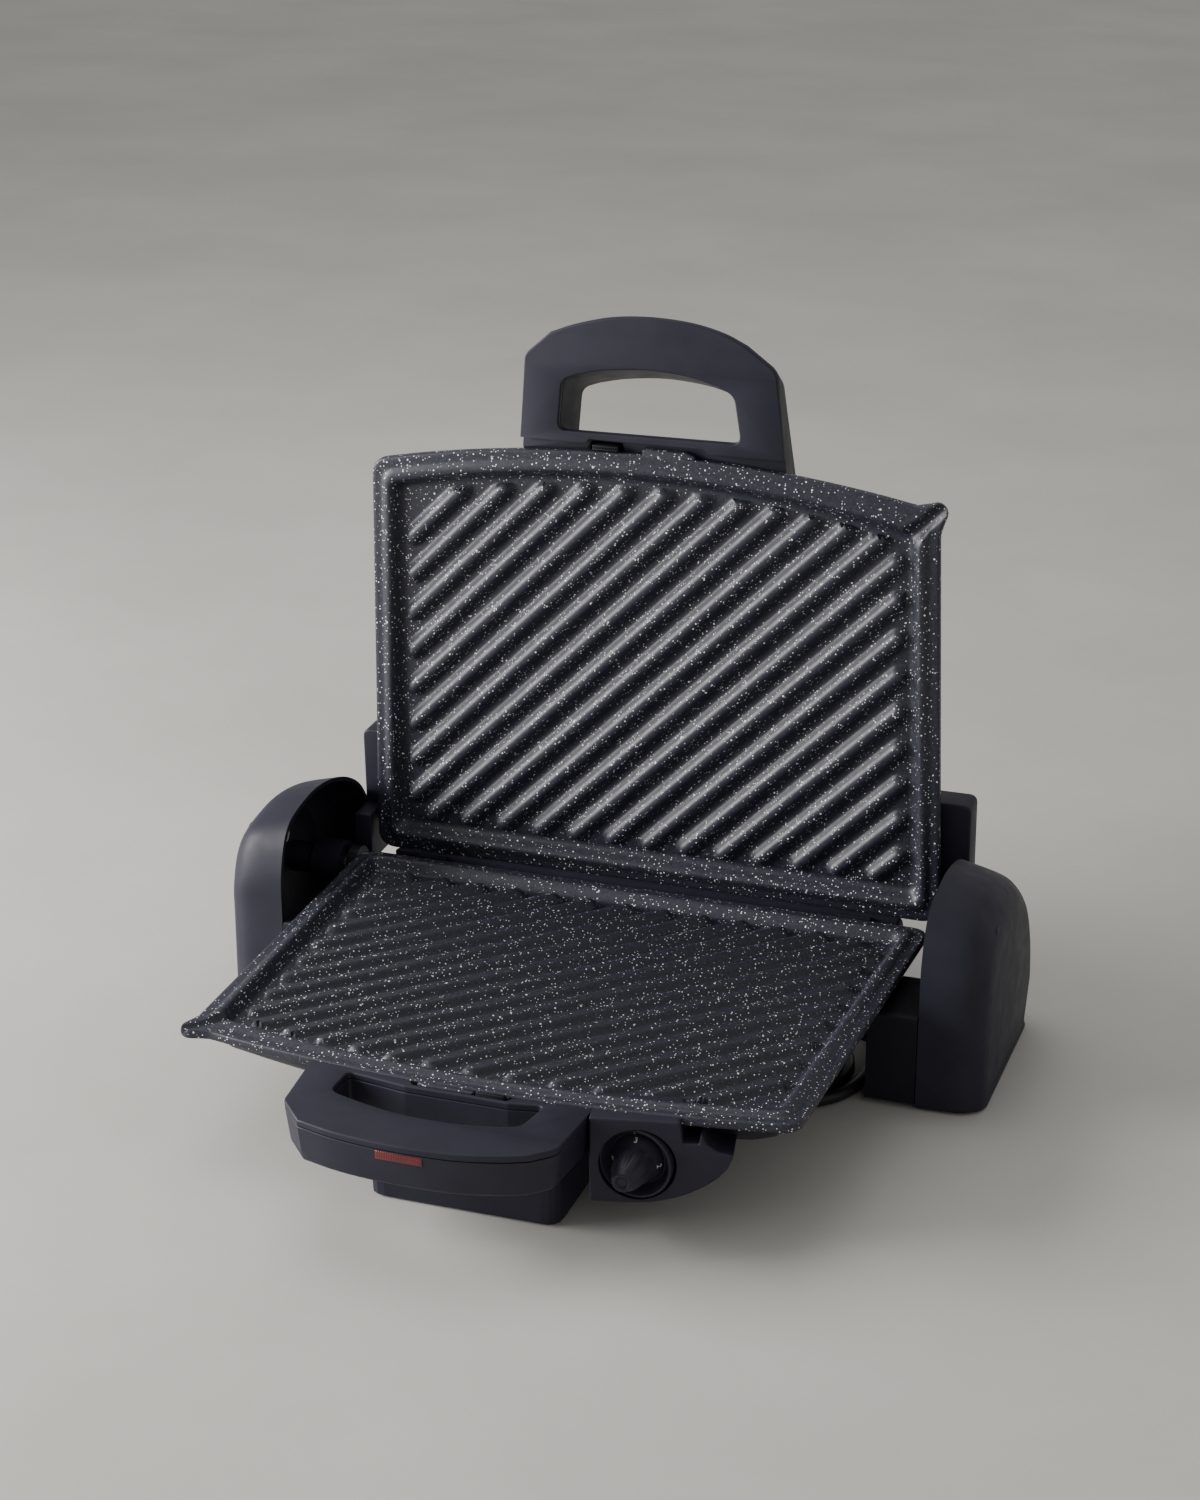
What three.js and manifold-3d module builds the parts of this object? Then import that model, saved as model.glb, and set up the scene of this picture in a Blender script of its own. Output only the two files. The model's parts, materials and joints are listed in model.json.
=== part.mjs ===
// A contact grill (panini press), open at about 87 degrees. Millimetres, +Z up, X to the right,
// -Y towards the cook, origin on the table under the middle of the object.
//
// Each half is built in plate coordinates: u and v lie in the plate's rim plane, v runs from the
// hinge edge to the handle, and w points out of the cooking face. The lower half is that frame
// turned to face up, the upper half the same frame stood on end.
import * as THREE from 'three';
import { mergeVertices } from 'three/addons/utils/BufferGeometryUtils.js';
import Module from 'manifold-3d';

// ---- driving dimensions ----
const GAP = 0.3; // between pieces that touch
const CENTRE_Y = 127.331; // moves the object's middle onto the origin
const RIM_HEIGHT = 70; // rim plane of the lower plate above the table
const REAR_Y = 4.5; // rear edge of the lower plate
const HINGE_BACK = 5.15; // the hinge axis lies this far behind each plate's rear edge
const HINGE_DROP = 15.2; // and this far out of its rim plane
const AXIS_Y = REAR_Y + HINGE_BACK;
const AXIS_Z = RIM_HEIGHT - HINGE_DROP;
const LID_LEAN = 2.48; // degrees, how far the open lid leans towards the cook

const PLATE_REAR_HALF = 168.8;
const PLATE_FRONT_HALF = 161.2;
const PLATE_DEPTH = 239;
const PLATE_BOW = 17; // how far the front edge bulges at its middle
const PLATE_CORNER = 11;
const SKIRT = -7.3;
const LIP = -2.4;
const BEAD_TOP = -0.5;
const FLOOR = -7;
const PLATE_UNDER = -10.5;
const RIB_TOP = -2.6;
const RIB_HALF_WIDTH = 4.9;
const RIB_PITCH = 15.6;
const RIB_MARGIN = 23;

const HOUSING_DEPTH = 30;
const HOUSING_WALL = 2.4;
const LEDGE_HALF = 150;
const HANDLE_TOP = -3;
const HANDLE_SPLIT = -6.5;
const HANDLE_BOTTOM = -26.5;
const LID_HANDLE_BACK = -38.5;

const SEAM_X = 182.5; // open side of each hinge pod
const POD_OUT = 218;
const POD_MID_Y = -9;
const POD_WALL = 2.6;
const BASE_Z = 1; // mouldings stop this far above the table, the pads touch it
const PIN_R = 5;
const ARM_OUT = 181.5;
const HUB_R = 13;

const KNOB_X = 85.2;
const KNOB_Y = -246; // back of the knob
const KNOB_Z = 43;
const PANEL_TURN = THREE.MathUtils.degToRad(12);

const CORD_R = 3.5;
const COIL = { x: 96, y: -57, radius: 40, base: 1, top: 1 + 4 * CORD_R + 0.3 };
const CORD_ROUTE = [
  [48, -6.4, 30.8], [48, -1, 26.8], [49.5, 6, 21.8], [53.5, 13.5, 17], [61, 20.5, 12.5], [72, 26, 9],
  [86, 29, 6.5], [101, 28.5, 5], [115, 24, 4.6], [127, 16, 4.6], [137, 5, 4.6], [144, -9, 4.6],
  [148.3, -25, 4.6], [150.2, -42, 4.6], [149.8, -58, 4.6], [147, -72, 4.6], [142, -82.5, 4.6], [134.3, -90.8, 4.6],
];
const TAIL_Y = COIL.y - COIL.radius - CORD_R;
const TAIL_ROUTE = [
  [69.3, TAIL_Y, 11.6], [62, TAIL_Y, 12.7], [54, TAIL_Y, 16.2], [47, TAIL_Y, 18.2], [41, TAIL_Y, 18.6],
];
const PLUG = { z: 18.6, radius: 18.3, length: 53, pinReach: 72 };

// ---- materials ----
const matte = (color, roughness) => new THREE.MeshStandardMaterial({ color, roughness, metalness: 0 });
const PLASTIC = matte(0x23232a, 0.55);
const PLASTIC_DARK = matte(0x17171b, 0.6);
const RUBBER = matte(0x151515, 0.85);
const LENS = matte(0x7a0f14, 0.25);
const CERAMIC = matte(0xd8d4ca, 0.7);
const COATING = new THREE.MeshStandardMaterial({ color: 0x2a2a33, roughness: 0.4, metalness: 0.3 });
const STEEL = new THREE.MeshStandardMaterial({ color: 0xa9a9aa, roughness: 0.35, metalness: 1 });
const BRASS = new THREE.MeshStandardMaterial({ color: 0xb5924a, roughness: 0.35, metalness: 1 });

// ---- solids ----
const wasm = await Module();
wasm.setup();

function solidOf(geometry) {
  geometry.deleteAttribute('normal');
  geometry.deleteAttribute('uv');
  const merged = mergeVertices(geometry, 1e-4);
  const vertProperties = new Float32Array(merged.attributes.position.array);
  const triVerts = new Uint32Array(merged.index.array);
  return new wasm.Manifold(new wasm.Mesh({ numProp: 3, vertProperties, triVerts }));
}

function geometryOf(solid) {
  const mesh = solid.getMesh();
  const geometry = new THREE.BufferGeometry();
  geometry.setAttribute('position', new THREE.BufferAttribute(mesh.vertProperties, 3));
  geometry.setIndex(new THREE.BufferAttribute(mesh.triVerts, 1));
  return geometry;
}

const cut = (solid, ...tools) => tools.reduce((rest, tool) => rest.subtract(tool), solid);
const join = (solid, ...more) => more.reduce((sum, one) => sum.add(one), solid);

function box(low, high) {
  const size = high.map((value, i) => value - low[i]);
  const middle = high.map((value, i) => (value + low[i]) / 2);
  return solidOf(new THREE.BoxGeometry(...size).translate(...middle));
}

// A cylinder or cone along an axis, from one coordinate on it to another.
function rod(axis, from, to, place, radius, sides = 20, endRadius = radius) {
  const geometry = new THREE.CylinderGeometry(endRadius, radius, to - from, sides);
  geometry.translate(0, (from + to) / 2, 0);
  if (axis === 'x') geometry.rotateZ(-Math.PI / 2).translate(0, place[0], place[1]);
  if (axis === 'y') geometry.translate(place[0], 0, place[1]);
  if (axis === 'z') geometry.rotateX(Math.PI / 2).translate(place[0], place[1], 0);
  return solidOf(geometry);
}

// An outline in the x-y plane, between two heights.
function slab(points, low, high, holes = []) {
  const shape = new THREE.Shape(points.map(([x, y]) => new THREE.Vector2(x, y)));
  shape.holes = holes.map((hole) => new THREE.Path(hole.map(([x, y]) => new THREE.Vector2(x, y))));
  const geometry = new THREE.ExtrudeGeometry(shape, { depth: high - low, bevelEnabled: false });
  return solidOf(geometry.translate(0, 0, low));
}

// A closed solid through rings of equally many points, with a flat cap on the first and the last.
function loft(rings) {
  const count = rings[0].length;
  const positions = rings.flat().flat();
  const index = [];
  for (let r = 0; r + 1 < rings.length; r += 1) {
    for (let i = 0; i < count; i += 1) {
      const a = r * count + i;
      const b = r * count + ((i + 1) % count);
      index.push(a, b, b + count, a, b + count, a + count);
    }
  }
  const flat = (ring) => {
    const spread = [0, 1, 2].map((k) => Math.max(...ring.map((p) => p[k])) - Math.min(...ring.map((p) => p[k])));
    const drop = spread.indexOf(Math.min(...spread));
    return ring.map((p) => new THREE.Vector2(p[(drop + 1) % 3], p[(drop + 2) % 3]));
  };
  const first = flat(rings[0]);
  const turn = THREE.ShapeUtils.isClockWise(first);
  for (const [at, reverse] of [[0, !turn], [rings.length - 1, turn]]) {
    const outline = flat(rings[at]);
    for (const face of THREE.ShapeUtils.triangulateShape(outline, [])) {
      const corners = face.map((corner) => corner + at * count);
      index.push(...(reverse ? corners.reverse() : corners));
    }
  }
  let volume = 0;
  const at = (k) => new THREE.Vector3(...positions.slice(3 * k, 3 * k + 3));
  for (let t = 0; t < index.length; t += 3) {
    volume += at(index[t]).dot(at(index[t + 1]).cross(at(index[t + 2])));
  }
  const geometry = new THREE.BufferGeometry();
  geometry.setAttribute('position', new THREE.Float32BufferAttribute(positions, 3));
  geometry.setIndex(volume < 0 ? index.reverse() : index);
  return solidOf(geometry);
}

// Rounds each corner of a polygon that has a radius.
function rounded(corners, steps = 4) {
  const points = [];
  corners.forEach(([x, y, radius = 0], i) => {
    const here = new THREE.Vector2(x, y);
    if (!radius) {
      points.push([x, y]);
      return;
    }
    const [before, after] = [corners.at(i - 1), corners[(i + 1) % corners.length]]
      .map(([px, py]) => new THREE.Vector2(px, py).sub(here));
    const half = Math.acos(before.clone().normalize().dot(after.clone().normalize())) / 2;
    const reach = Math.min(radius / Math.tan(half), 0.45 * before.length(), 0.45 * after.length());
    const start = here.clone().addScaledVector(before.normalize(), reach);
    const end = here.clone().addScaledVector(after.normalize(), reach);
    const curve = new THREE.QuadraticBezierCurve(start, here, end);
    curve.getPoints(steps).forEach((p) => points.push([p.x, p.y]));
  });
  return points;
}

// ---- the plate's outline, shared by the plates, housings and reflectors ----
function pressOutline(inset) {
  const rear = PLATE_REAR_HALF - inset;
  const front = PLATE_FRONT_HALF - inset;
  const corner = Math.max(PLATE_CORNER - 0.35 * inset, 5);
  const corners = [[-rear, inset, corner], [rear, inset, corner], [front, PLATE_DEPTH - inset, corner]];
  const steps = 10;
  for (let i = 1; i < steps; i += 1) {
    const s = 1 - (2 * i) / steps;
    corners.push([front * s, PLATE_DEPTH - inset + PLATE_BOW * (1 - s * s)]);
  }
  corners.push([-front, PLATE_DEPTH - inset, corner]);
  return rounded(corners);
}

const pressRing = ([inset, w]) => pressOutline(inset).map(([u, v]) => [u, v, w]);
const frontEdge = (u) => PLATE_DEPTH + PLATE_BOW * (1 - (u / PLATE_FRONT_HALF) ** 2);

// ---- a cooking plate: skirt, lip, rounded bead, floor, slanting ribs, pouring spout and tab ----
function insideRibField(u, v) {
  const side = PLATE_REAR_HALF - ((PLATE_REAR_HALF - PLATE_FRONT_HALF) * v) / PLATE_DEPTH;
  return Math.abs(u) < side - RIB_MARGIN && v > RIB_MARGIN && v < frontEdge(u) - RIB_MARGIN;
}

function ribSpans() {
  const spans = [];
  const reach = PLATE_REAR_HALF + PLATE_DEPTH;
  for (let offset = -reach; offset < reach; offset += RIB_PITCH) {
    const inside = [];
    for (let along = -reach; along < reach; along += 1) {
      const u = (along + offset) * Math.SQRT1_2;
      const v = (along - offset) * Math.SQRT1_2;
      if (insideRibField(u, v)) inside.push([u, v]);
    }
    if (inside.length > 12) spans.push([inside[0], inside.at(-1)]);
  }
  return spans;
}

function rib([[u1, v1], [u2, v2]]) {
  const angle = Math.atan2(v2 - v1, u2 - u1);
  const section = [[1, FLOOR - 1], [0.86, -4.4], [0.35, RIB_TOP]];
  return loft(section.map(([share, w]) => {
    const radius = RIB_HALF_WIDTH * share;
    const ring = [];
    for (const [cu, cv, from] of [[u2, v2, angle - Math.PI / 2], [u1, v1, angle + Math.PI / 2]]) {
      for (let i = 0; i <= 3; i += 1) {
        const a = from + (i * Math.PI) / 3;
        ring.push([cu + radius * Math.cos(a), cv + radius * Math.sin(a), w]);
      }
    }
    return ring;
  }));
}

function cookingPlate() {
  const section = [
    [17, PLATE_UNDER], [14.5, SKIRT], [1.2, SKIRT], [0, SKIRT + 0.8], [0, LIP - 0.8], [0.8, LIP],
    [5.5, LIP], [7.2, BEAD_TOP - 0.5], [9.4, BEAD_TOP], [11.6, BEAD_TOP - 0.6], [13.6, -3.4], [17.5, FLOOR],
  ];
  const pan = loft(section.map(pressRing));
  const [cu, cv] = [PLATE_FRONT_HALF - 5, PLATE_DEPTH - 4];
  const along = (distance, across) => [
    cu + (distance - across) * Math.SQRT1_2, cv + (distance + across) * Math.SQRT1_2,
  ];
  const spout = slab([along(-8, -11), along(7, -6), along(9.5, 0), along(7, 6), along(-8, 11)], SKIRT, BEAD_TOP - 0.4);
  const channel = slab([along(-26, -4.5), along(14, -3), along(14, 3), along(-26, 4.5)], -5.6, 3);
  const tab = slab([[-2.5, 249], [27, 249], [27, 257.4], [22, 259], [-2.5, 259]], SKIRT, LIP);
  return cut(join(pan, spout, tab, ...ribSpans().map(rib)), channel);
}

// ---- a housing: the bowl under or behind a plate ----
const BOWL = [[32, -HOUSING_DEPTH], [26, -HOUSING_DEPTH + 2], [15, -19], [9, -12], [6.5, SKIRT - GAP]];
const bowlOutside = (grow) => loft([
  ...BOWL.map(([inset, w]) => pressRing([inset - grow, w === -HOUSING_DEPTH ? w - grow : w])),
  pressRing([6.5 - grow, SKIRT + 2]),
]);

function bowl() {
  const inner = [...BOWL].reverse().map(([inset, w]) => (
    pressRing([inset + HOUSING_WALL, Math.max(w, -HOUSING_DEPTH + HOUSING_WALL)])));
  inner.splice(-2, 1);
  return loft([...BOWL.map(pressRing), ...inner]);
}

// The lower housing's round ledge between the two hinge edges, inside the lid's sweep.
function rearLedge() {
  const radius = 13.3;
  const section = [[-9, 48], [-9, 56.8], [8.2, 56.8]];
  for (let degrees = 96; degrees >= -96; degrees -= 12) {
    const angle = THREE.MathUtils.degToRad(degrees);
    section.push([AXIS_Y + radius * Math.cos(angle), AXIS_Z + radius * Math.sin(angle)]);
  }
  return slab(section, -LEDGE_HALF, LEDGE_HALF).rotate([90, 0, 90]);
}

function reflector() {
  return loft([[40, -20.6], [35, -20.6], [33, -18], [33.8, -18], [35.6, -19.8], [40, -19.8]].map(pressRing));
}

// A tubular heating element: two long loops under the plate.
function heatingElement() {
  const side = 112;
  const route = [
    [-side + 22, 62], [side - 20, 62], [side, 82], [side, 104], [side - 20, 124], [-side + 20, 124],
    [-side, 144], [-side, 166], [-side + 20, 186], [side - 22, 186],
  ].map(([u, v]) => new THREE.Vector3(u, v, -14.6));
  const path = new THREE.CatmullRomCurve3(route, false, 'centripetal');
  const section = new THREE.Shape(new THREE.EllipseCurve(0, 0, 3.3, 3.3).getPoints(8).slice(0, 8));
  return solidOf(new THREE.ExtrudeGeometry(section, { steps: 34, extrudePath: path }));
}

// ---- handles ----
const LOWER_HANDLE = [
  [82, 218, 3], [86.8, 249, 4], [82.2, 293.8, 9], [67.2, 310.8, 10], [21.2, 318.8, 30], [-14.8, 319.4, 30],
  [-49.8, 306.8, 12], [-60.3, 296.4, 8], [-63.2, 262.8, 0], [-62, 218, 3],
];
const LOWER_SLOT = [
  [64.2, 257, 3], [64.2, 277.8, 9], [13.2, 291, 30], [-35.8, 283, 12], [-39.8, 258.5, 3], [-22, 262], [32, 262],
];
const UPPER_HANDLE = [
  [-73, 249, 3], [-69, 306.5, 8], [-54.5, 319.3, 12], [0, 333, 60], [53, 321.5, 12], [71.8, 307.5, 9],
  [76.5, 249, 3],
];
const UPPER_HANDLE_BACK = [
  [-72, 249, 3], [-63, 291.5, 8], [-50, 304, 12], [0, 316.5, 60], [51, 307.5, 12], [66, 292, 9], [75.5, 249, 3],
];
const UPPER_SLOT = [[-51, 265.5, 5], [-48, 294, 9], [1, 304.5, 60], [48.5, 293.5, 9], [52.5, 266.5, 5]];
const UPPER_SLOT_BACK = UPPER_SLOT.map(([u, v, r]) => [u, v - 15, r]);

const grown = (points, amount) => points.map(([u, v, r]) => {
  const [cu, cv] = [points.reduce((s, p) => s + p[0], 0), points.reduce((s, p) => s + p[1], 0)]
    .map((sum) => sum / points.length);
  const far = Math.hypot(u - cu, v - cv);
  return [u + ((u - cu) * amount) / far, v + ((v - cv) * amount) / far, r];
});

function handlePiece(outline, slot, low, high, back = outline, slotBack = slot) {
  const outside = [[outline, high], [back, low]].map(([corners, w]) => (
    rounded(corners, 3).map(([u, v]) => [u, v, w])));
  const inside = [[slot, high + 1], [slotBack, low - 1]].map(([corners, w]) => (
    rounded(corners, 3).map(([u, v]) => [u, v, w])));
  return cut(loft(outside), loft(inside));
}

const underPlate = () => slab(pressOutline(-0.7), SKIRT - GAP, 5);
const tabNotch = () => slab([[-21, 245], [30, 245], [30, 259.6], [-21, 259.6]], -11, 5);
const latchPocket = (u) => box([u - 9, 250, -18], [u + 9, 260.3, 5]);

// ---- hinge pods ----
const POD_SIDE = [
  [-78, BASE_Z, 3], [-77.5, 66, 0], [-76, 90, 12], [-66, 108, 10], [-40, 115, 20], [-17, 115.3, 15],
  [10, 109, 15], [33, 97, 15], [45, 81, 10], [53, 62, 10], [57, 40, 10], [56, BASE_Z, 3],
];

// Rings across the pod: x, then how much of its length and height are left there.
const POD_RINGS = [[POD_OUT, 0.8, 0.76], [216, 0.88, 0.83], [211, 0.945, 0.9], [203, 0.985, 0.95], [SEAM_X, 1, 1]];

function podRing([x, alongY, alongZ], wall) {
  const side = rounded(POD_SIDE, 2);
  return side.map(([y, z]) => {
    const shrink = wall / 62;
    const ringY = POD_MID_Y + (y - POD_MID_Y) * (alongY - shrink);
    const ringZ = BASE_Z + (z - BASE_Z) * (alongZ - (2 * wall) / 114) + wall;
    return [x, ringY, ringZ];
  });
}

function podShell() {
  const outer = POD_RINGS.map((ring) => podRing(ring, 0));
  const inner = [...POD_RINGS].reverse().map(([x, y, z], i) => (
    podRing([i ? Math.min(x, POD_OUT - POD_WALL) - (i === 4 ? 0 : 0.4) : x, y, z], POD_WALL)));
  const shell = loft([...outer, ...inner]);
  const boss = rod('x', 203, POD_OUT - 1.2, [AXIS_Y, AXIS_Z], 9);
  const screwBoss = rod('x', 196, POD_OUT - 4, [-44, 92], 5, 12);
  return cut(
    join(shell, boss, screwBoss),
    rod('x', 202, 212.4, [AXIS_Y, AXIS_Z], PIN_R + GAP),
    rod('x', 195, 206, [-44, 92], 2.2 + GAP, 12),
  );
}

// The bracket that joins a pod to the lower housing, holds the hinge pin and stands on the table.
function podBracket() {
  const top = AXIS_Z - 0.4;
  const side = (points, from, to) => slab(points, from, to).rotate([90, 0, 90]);
  const block = side(rounded([[-78, 3, 2], [-78, top, 3], [-29, top, 3], [-24, 22, 6], [3, 20, 3], [3, 3, 2]], 3), 155, 182);
  const ear = rod('x', 172, 178, [AXIS_Y, AXIS_Z], 11.5, 24);
  const web = side([[-30, 18], [-30, 50], [1, 50], [6, 44]], 172, 178);
  const tongue = box([118, -70, 32.2], [158, -40, 39.7]);
  return join(block, ear, web, tongue);
}

// The cover's arm that carries the upper housing: pad behind it, neck and hub on the hinge axis.
function hingeArm() {
  const axis = [-HINGE_BACK, HINGE_DROP];
  const pad = slab([[140, 10], [ARM_OUT, 10], [ARM_OUT, 63], [ARM_OUT - 4, 67.5], [140, 67.5]], -36, -16);
  const neck = box([171, -9, -34], [ARM_OUT, 21, 2]);
  const link = box([ARM_OUT - 6, -HINGE_BACK - 4, -6], [198, -HINGE_BACK + 9, HINGE_DROP]);
  const hub = rod('x', ARM_OUT - 0.4, 200, axis, HUB_R, 28);
  const clearance = rod('x', 160, ARM_OUT - 0.4, axis, 12.5);
  const bore = rod('x', 150, 210, axis, PIN_R + 0.15, 24);
  return cut(join(cut(join(pad, neck, link), clearance), hub), bore, bowlOutside(GAP));
}

// ---- front controls ----
const panelPlace = (solid) => (
  solid.rotate([0, 0, THREE.MathUtils.radToDeg(PANEL_TURN)]).translate([63.8, -258.4, 0]));

// The control housing: a rounded lobe beside the handle, drawn as seen from the front.
function controlHousing() {
  const front = [
    [0, 22, 2], [0, 67, 0], [44, 67, 2], [45.5, 56, 0], [53, 56, 0], [54, 62, 2], [58, 54, 3], [70, 51, 0],
    [67, 43, 8], [54, 32, 20], [31, 23.5, 20],
  ];
  const standing = (points, from, to) => slab(points, from, to).rotate([90, 0, 0]);
  const body = standing(rounded(front, 3), -30, 0);
  const inner = standing([[3, 27], [3, 59], [42, 59], [42, 33], [32, 28.5]], -35, -3);
  return [body, inner].map(panelPlace).reduce((whole, hollow) => whole.subtract(hollow));
}

const knobRod = (from, to, radius, sides, endRadius = radius) => (
  rod('y', from, to, [KNOB_X, KNOB_Z], radius, sides, endRadius));

function thermostatKnob() {
  const profile = [
    [0, 0], [15.6, 0], [15.8, 3], [14.4, 6], [13, 12], [10.2, 19], [7.6, 24.5], [5.6, 27], [3, 25.8], [0, 25.4],
  ].map(([r, h]) => new THREE.Vector2(r, h));
  const turned = new THREE.LatheGeometry(profile, 24).rotateX(Math.PI).translate(KNOB_X, KNOB_Y, KNOB_Z);
  return cut(solidOf(turned), knobRod(KNOB_Y - 12, KNOB_Y + 1, 3 + GAP, 16));
}

// ---- cord ----
function cordAlong(route, steps) {
  const path = new THREE.CatmullRomCurve3(route.map((p) => new THREE.Vector3(...p)), false, 'centripetal');
  const section = new THREE.Shape(new THREE.EllipseCurve(0, 0, CORD_R, CORD_R).getPoints(8).slice(0, 8));
  return solidOf(new THREE.ExtrudeGeometry(section, { steps, extrudePath: path }));
}

function cordCoil() {
  const half = 2 * CORD_R;
  const profile = [
    [COIL.radius - half, COIL.base], [COIL.radius + half, COIL.base], [COIL.radius + half, COIL.top],
    [COIL.radius - half, COIL.top], [COIL.radius - half, COIL.base],
  ].map(([r, h]) => new THREE.Vector2(r, h));
  const ring = new THREE.LatheGeometry(profile, 32).rotateX(Math.PI / 2).translate(COIL.x, COIL.y, 0);
  return solidOf(ring);
}

// A band round the coil's left side.
function cordTie() {
  const reach = 2 * CORD_R + 0.6;
  const x = COIL.x - COIL.radius;
  const band = box([x - reach - 0.7, COIL.y - 4, 0.1], [x + reach + 0.7, COIL.y + 4, COIL.top + 1]);
  return cut(band, box([x - reach, COIL.y - 5, COIL.base - GAP], [x + reach, COIL.y + 5, COIL.top + GAP]));
}

// A straight earthed plug lying on its round body.
function mainsPlug() {
  const end = TAIL_ROUTE.at(-1)[0];
  const profile = [
    [0, GAP], [4.6, GAP], [6.2, 16], [12, 24], [14, 34], [PLUG.radius, 37], [PLUG.radius, PLUG.length],
    [0, PLUG.length],
  ].map(([r, h]) => new THREE.Vector2(r, h));
  const body = new THREE.LatheGeometry(profile, 24).rotateZ(Math.PI / 2).translate(end, TAIL_Y, PLUG.z);
  const pin = (dy) => rod('x', end - PLUG.pinReach, end - PLUG.length + 1, [TAIL_Y + dy, PLUG.z], 2.4, 12);
  return join(solidOf(body), pin(-9.5), pin(9.5));
}

// ---- assembly ----
const object = new THREE.Group();
object.position.y = CENTRE_Y;
const lowerHalf = new THREE.Group();
lowerHalf.position.set(0, REAR_Y, RIM_HEIGHT);
lowerHalf.rotation.z = Math.PI;
const upperHalf = new THREE.Group();
upperHalf.rotation.x = THREE.MathUtils.degToRad(90 + LID_LEAN);
upperHalf.position.set(0, HINGE_BACK, -HINGE_DROP).applyEuler(upperHalf.rotation);
upperHalf.position.add(new THREE.Vector3(0, AXIS_Y, AXIS_Z));
object.add(lowerHalf, upperHalf);

function add(parent, name, solid, material) {
  const mesh = new THREE.Mesh(geometryOf(solid), material);
  mesh.name = name;
  parent.add(mesh);
}

const mirrored = (solid) => solid.mirror([1, 0, 0]);

// ---- lower half ----
const lowerLatchU = -11.5;
const upperLatchU = -23.5;
const toLowerHalf = (solid) => solid.translate([0, -REAR_Y, -RIM_HEIGHT]).rotate([0, 0, 180]);
const toTable = (solid) => solid.rotate([0, 0, 180]).translate([0, REAR_Y, RIM_HEIGHT]);
const controlSpace = toLowerHalf(panelPlace(box([-0.4, -2, 21], [73, 32, 70])));
const enlargedBowl = toTable(bowlOutside(GAP));

const [exitX, exitY, exitZ] = CORD_ROUTE[0];
const reliefAngle = THREE.MathUtils.radToDeg(Math.atan2(CORD_ROUTE[1][2] - exitZ, CORD_ROUTE[1][1] - exitY));
const alongRelief = (from, radius, endRadius) => (
  rod('y', from, -GAP, [0, 0], radius, 16, endRadius).rotate([reliefAngle, 0, 0]).translate([exitX, exitY, exitZ]));

// Four screws through a housing's bottom.
const SCREWS = [[-95, 60], [95, 60], [-95, 178], [95, 178]];
const screw = ([u, v]) => join(
  rod('z', -HOUSING_DEPTH - 0.6, -21.4, [u, v], 1.8, 10), rod('z', -HOUSING_DEPTH - 2, -HOUSING_DEPTH - GAP, [u, v], 3.8, 12));
const screwHoles = SCREWS.map((at) => rod('z', -34, -25, at, 1.8 + GAP, 10));
const bracketScrewHoles = [-130, 130].map((u) => rod('z', -32, -24, [u, 55 + REAR_Y], 2 + GAP, 10));

add(lowerHalf, 'lower_housing', cut(
  join(bowl(), toLowerHalf(rearLedge())), controlSpace, toLowerHalf(alongRelief(-40, 6.9, 6.9)), ...screwHoles, ...bracketScrewHoles,
), PLASTIC);
add(lowerHalf, 'lower_reflector', reflector(), STEEL);
add(lowerHalf, 'lower_heating_element', heatingElement(), STEEL);
add(lowerHalf, 'lower_plate', cookingPlate(), COATING);
add(lowerHalf, 'terminal_block', box([30, 60, -27.2], [60, 72, -21.4]), CERAMIC);
add(lowerHalf, 'thermal_fuse', rod('x', -45, -20, [120, -24.4], 2.5, 12), STEEL);
SCREWS.forEach((at, i) => add(lowerHalf, `lower_screw_${i + 1}`, screw(at), STEEL));
const lowerCover = cut(
  handlePiece(LOWER_HANDLE, LOWER_SLOT, HANDLE_SPLIT, HANDLE_TOP),
  underPlate(), tabNotch(), latchPocket(lowerLatchU), bowlOutside(GAP), controlSpace,
);
add(lowerHalf, 'lower_handle_cover', lowerCover, PLASTIC);
const lampSpace = box([-1, 298, -12.2], [24, 330, -6]);
const lowerBody = cut(
  handlePiece(
    LOWER_HANDLE, LOWER_SLOT, HANDLE_BOTTOM, HANDLE_SPLIT - GAP, grown(LOWER_HANDLE, -2.5), grown(LOWER_SLOT, -1.25),
  ),
  bowlOutside(GAP), latchPocket(lowerLatchU), lampSpace, controlSpace, underPlate(), tabNotch(),
);
add(lowerHalf, 'lower_handle_body', lowerBody, PLASTIC);
const lens = slab([[-0.6, 314], [-0.6, 318.6], [21, 318], [23.6, 317.4], [23.6, 314]], -11.8, HANDLE_SPLIT - GAP);
add(lowerHalf, 'indicator_lens', lens, LENS);
add(lowerHalf, 'indicator_lamp', rod('x', 4, 19, [309, -9.3], 2.2, 12), CERAMIC);
const latch = (u) => join(
  box([u - 7.5, 256.3, -9], [u + 7.5, 259.4, -1.8]),
  box([u - 6, 256.3, -14], [u + 6, 259, -9]),
);
add(lowerHalf, 'lower_latch', latch(lowerLatchU), PLASTIC_DARK);

// A clip that hooks over the plate's rear lip and stands in the housing.
const plateHook = (u) => box([u - 9, -3.2, -12], [u + 9, -GAP, -1.6]);
const plateHooks = (half, prefix) => {
  add(half, `${prefix}_hook_left`, plateHook(-126), PLASTIC_DARK);
  add(half, `${prefix}_hook_right`, plateHook(126), PLASTIC_DARK);
};
plateHooks(lowerHalf, 'lower_plate');

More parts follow.
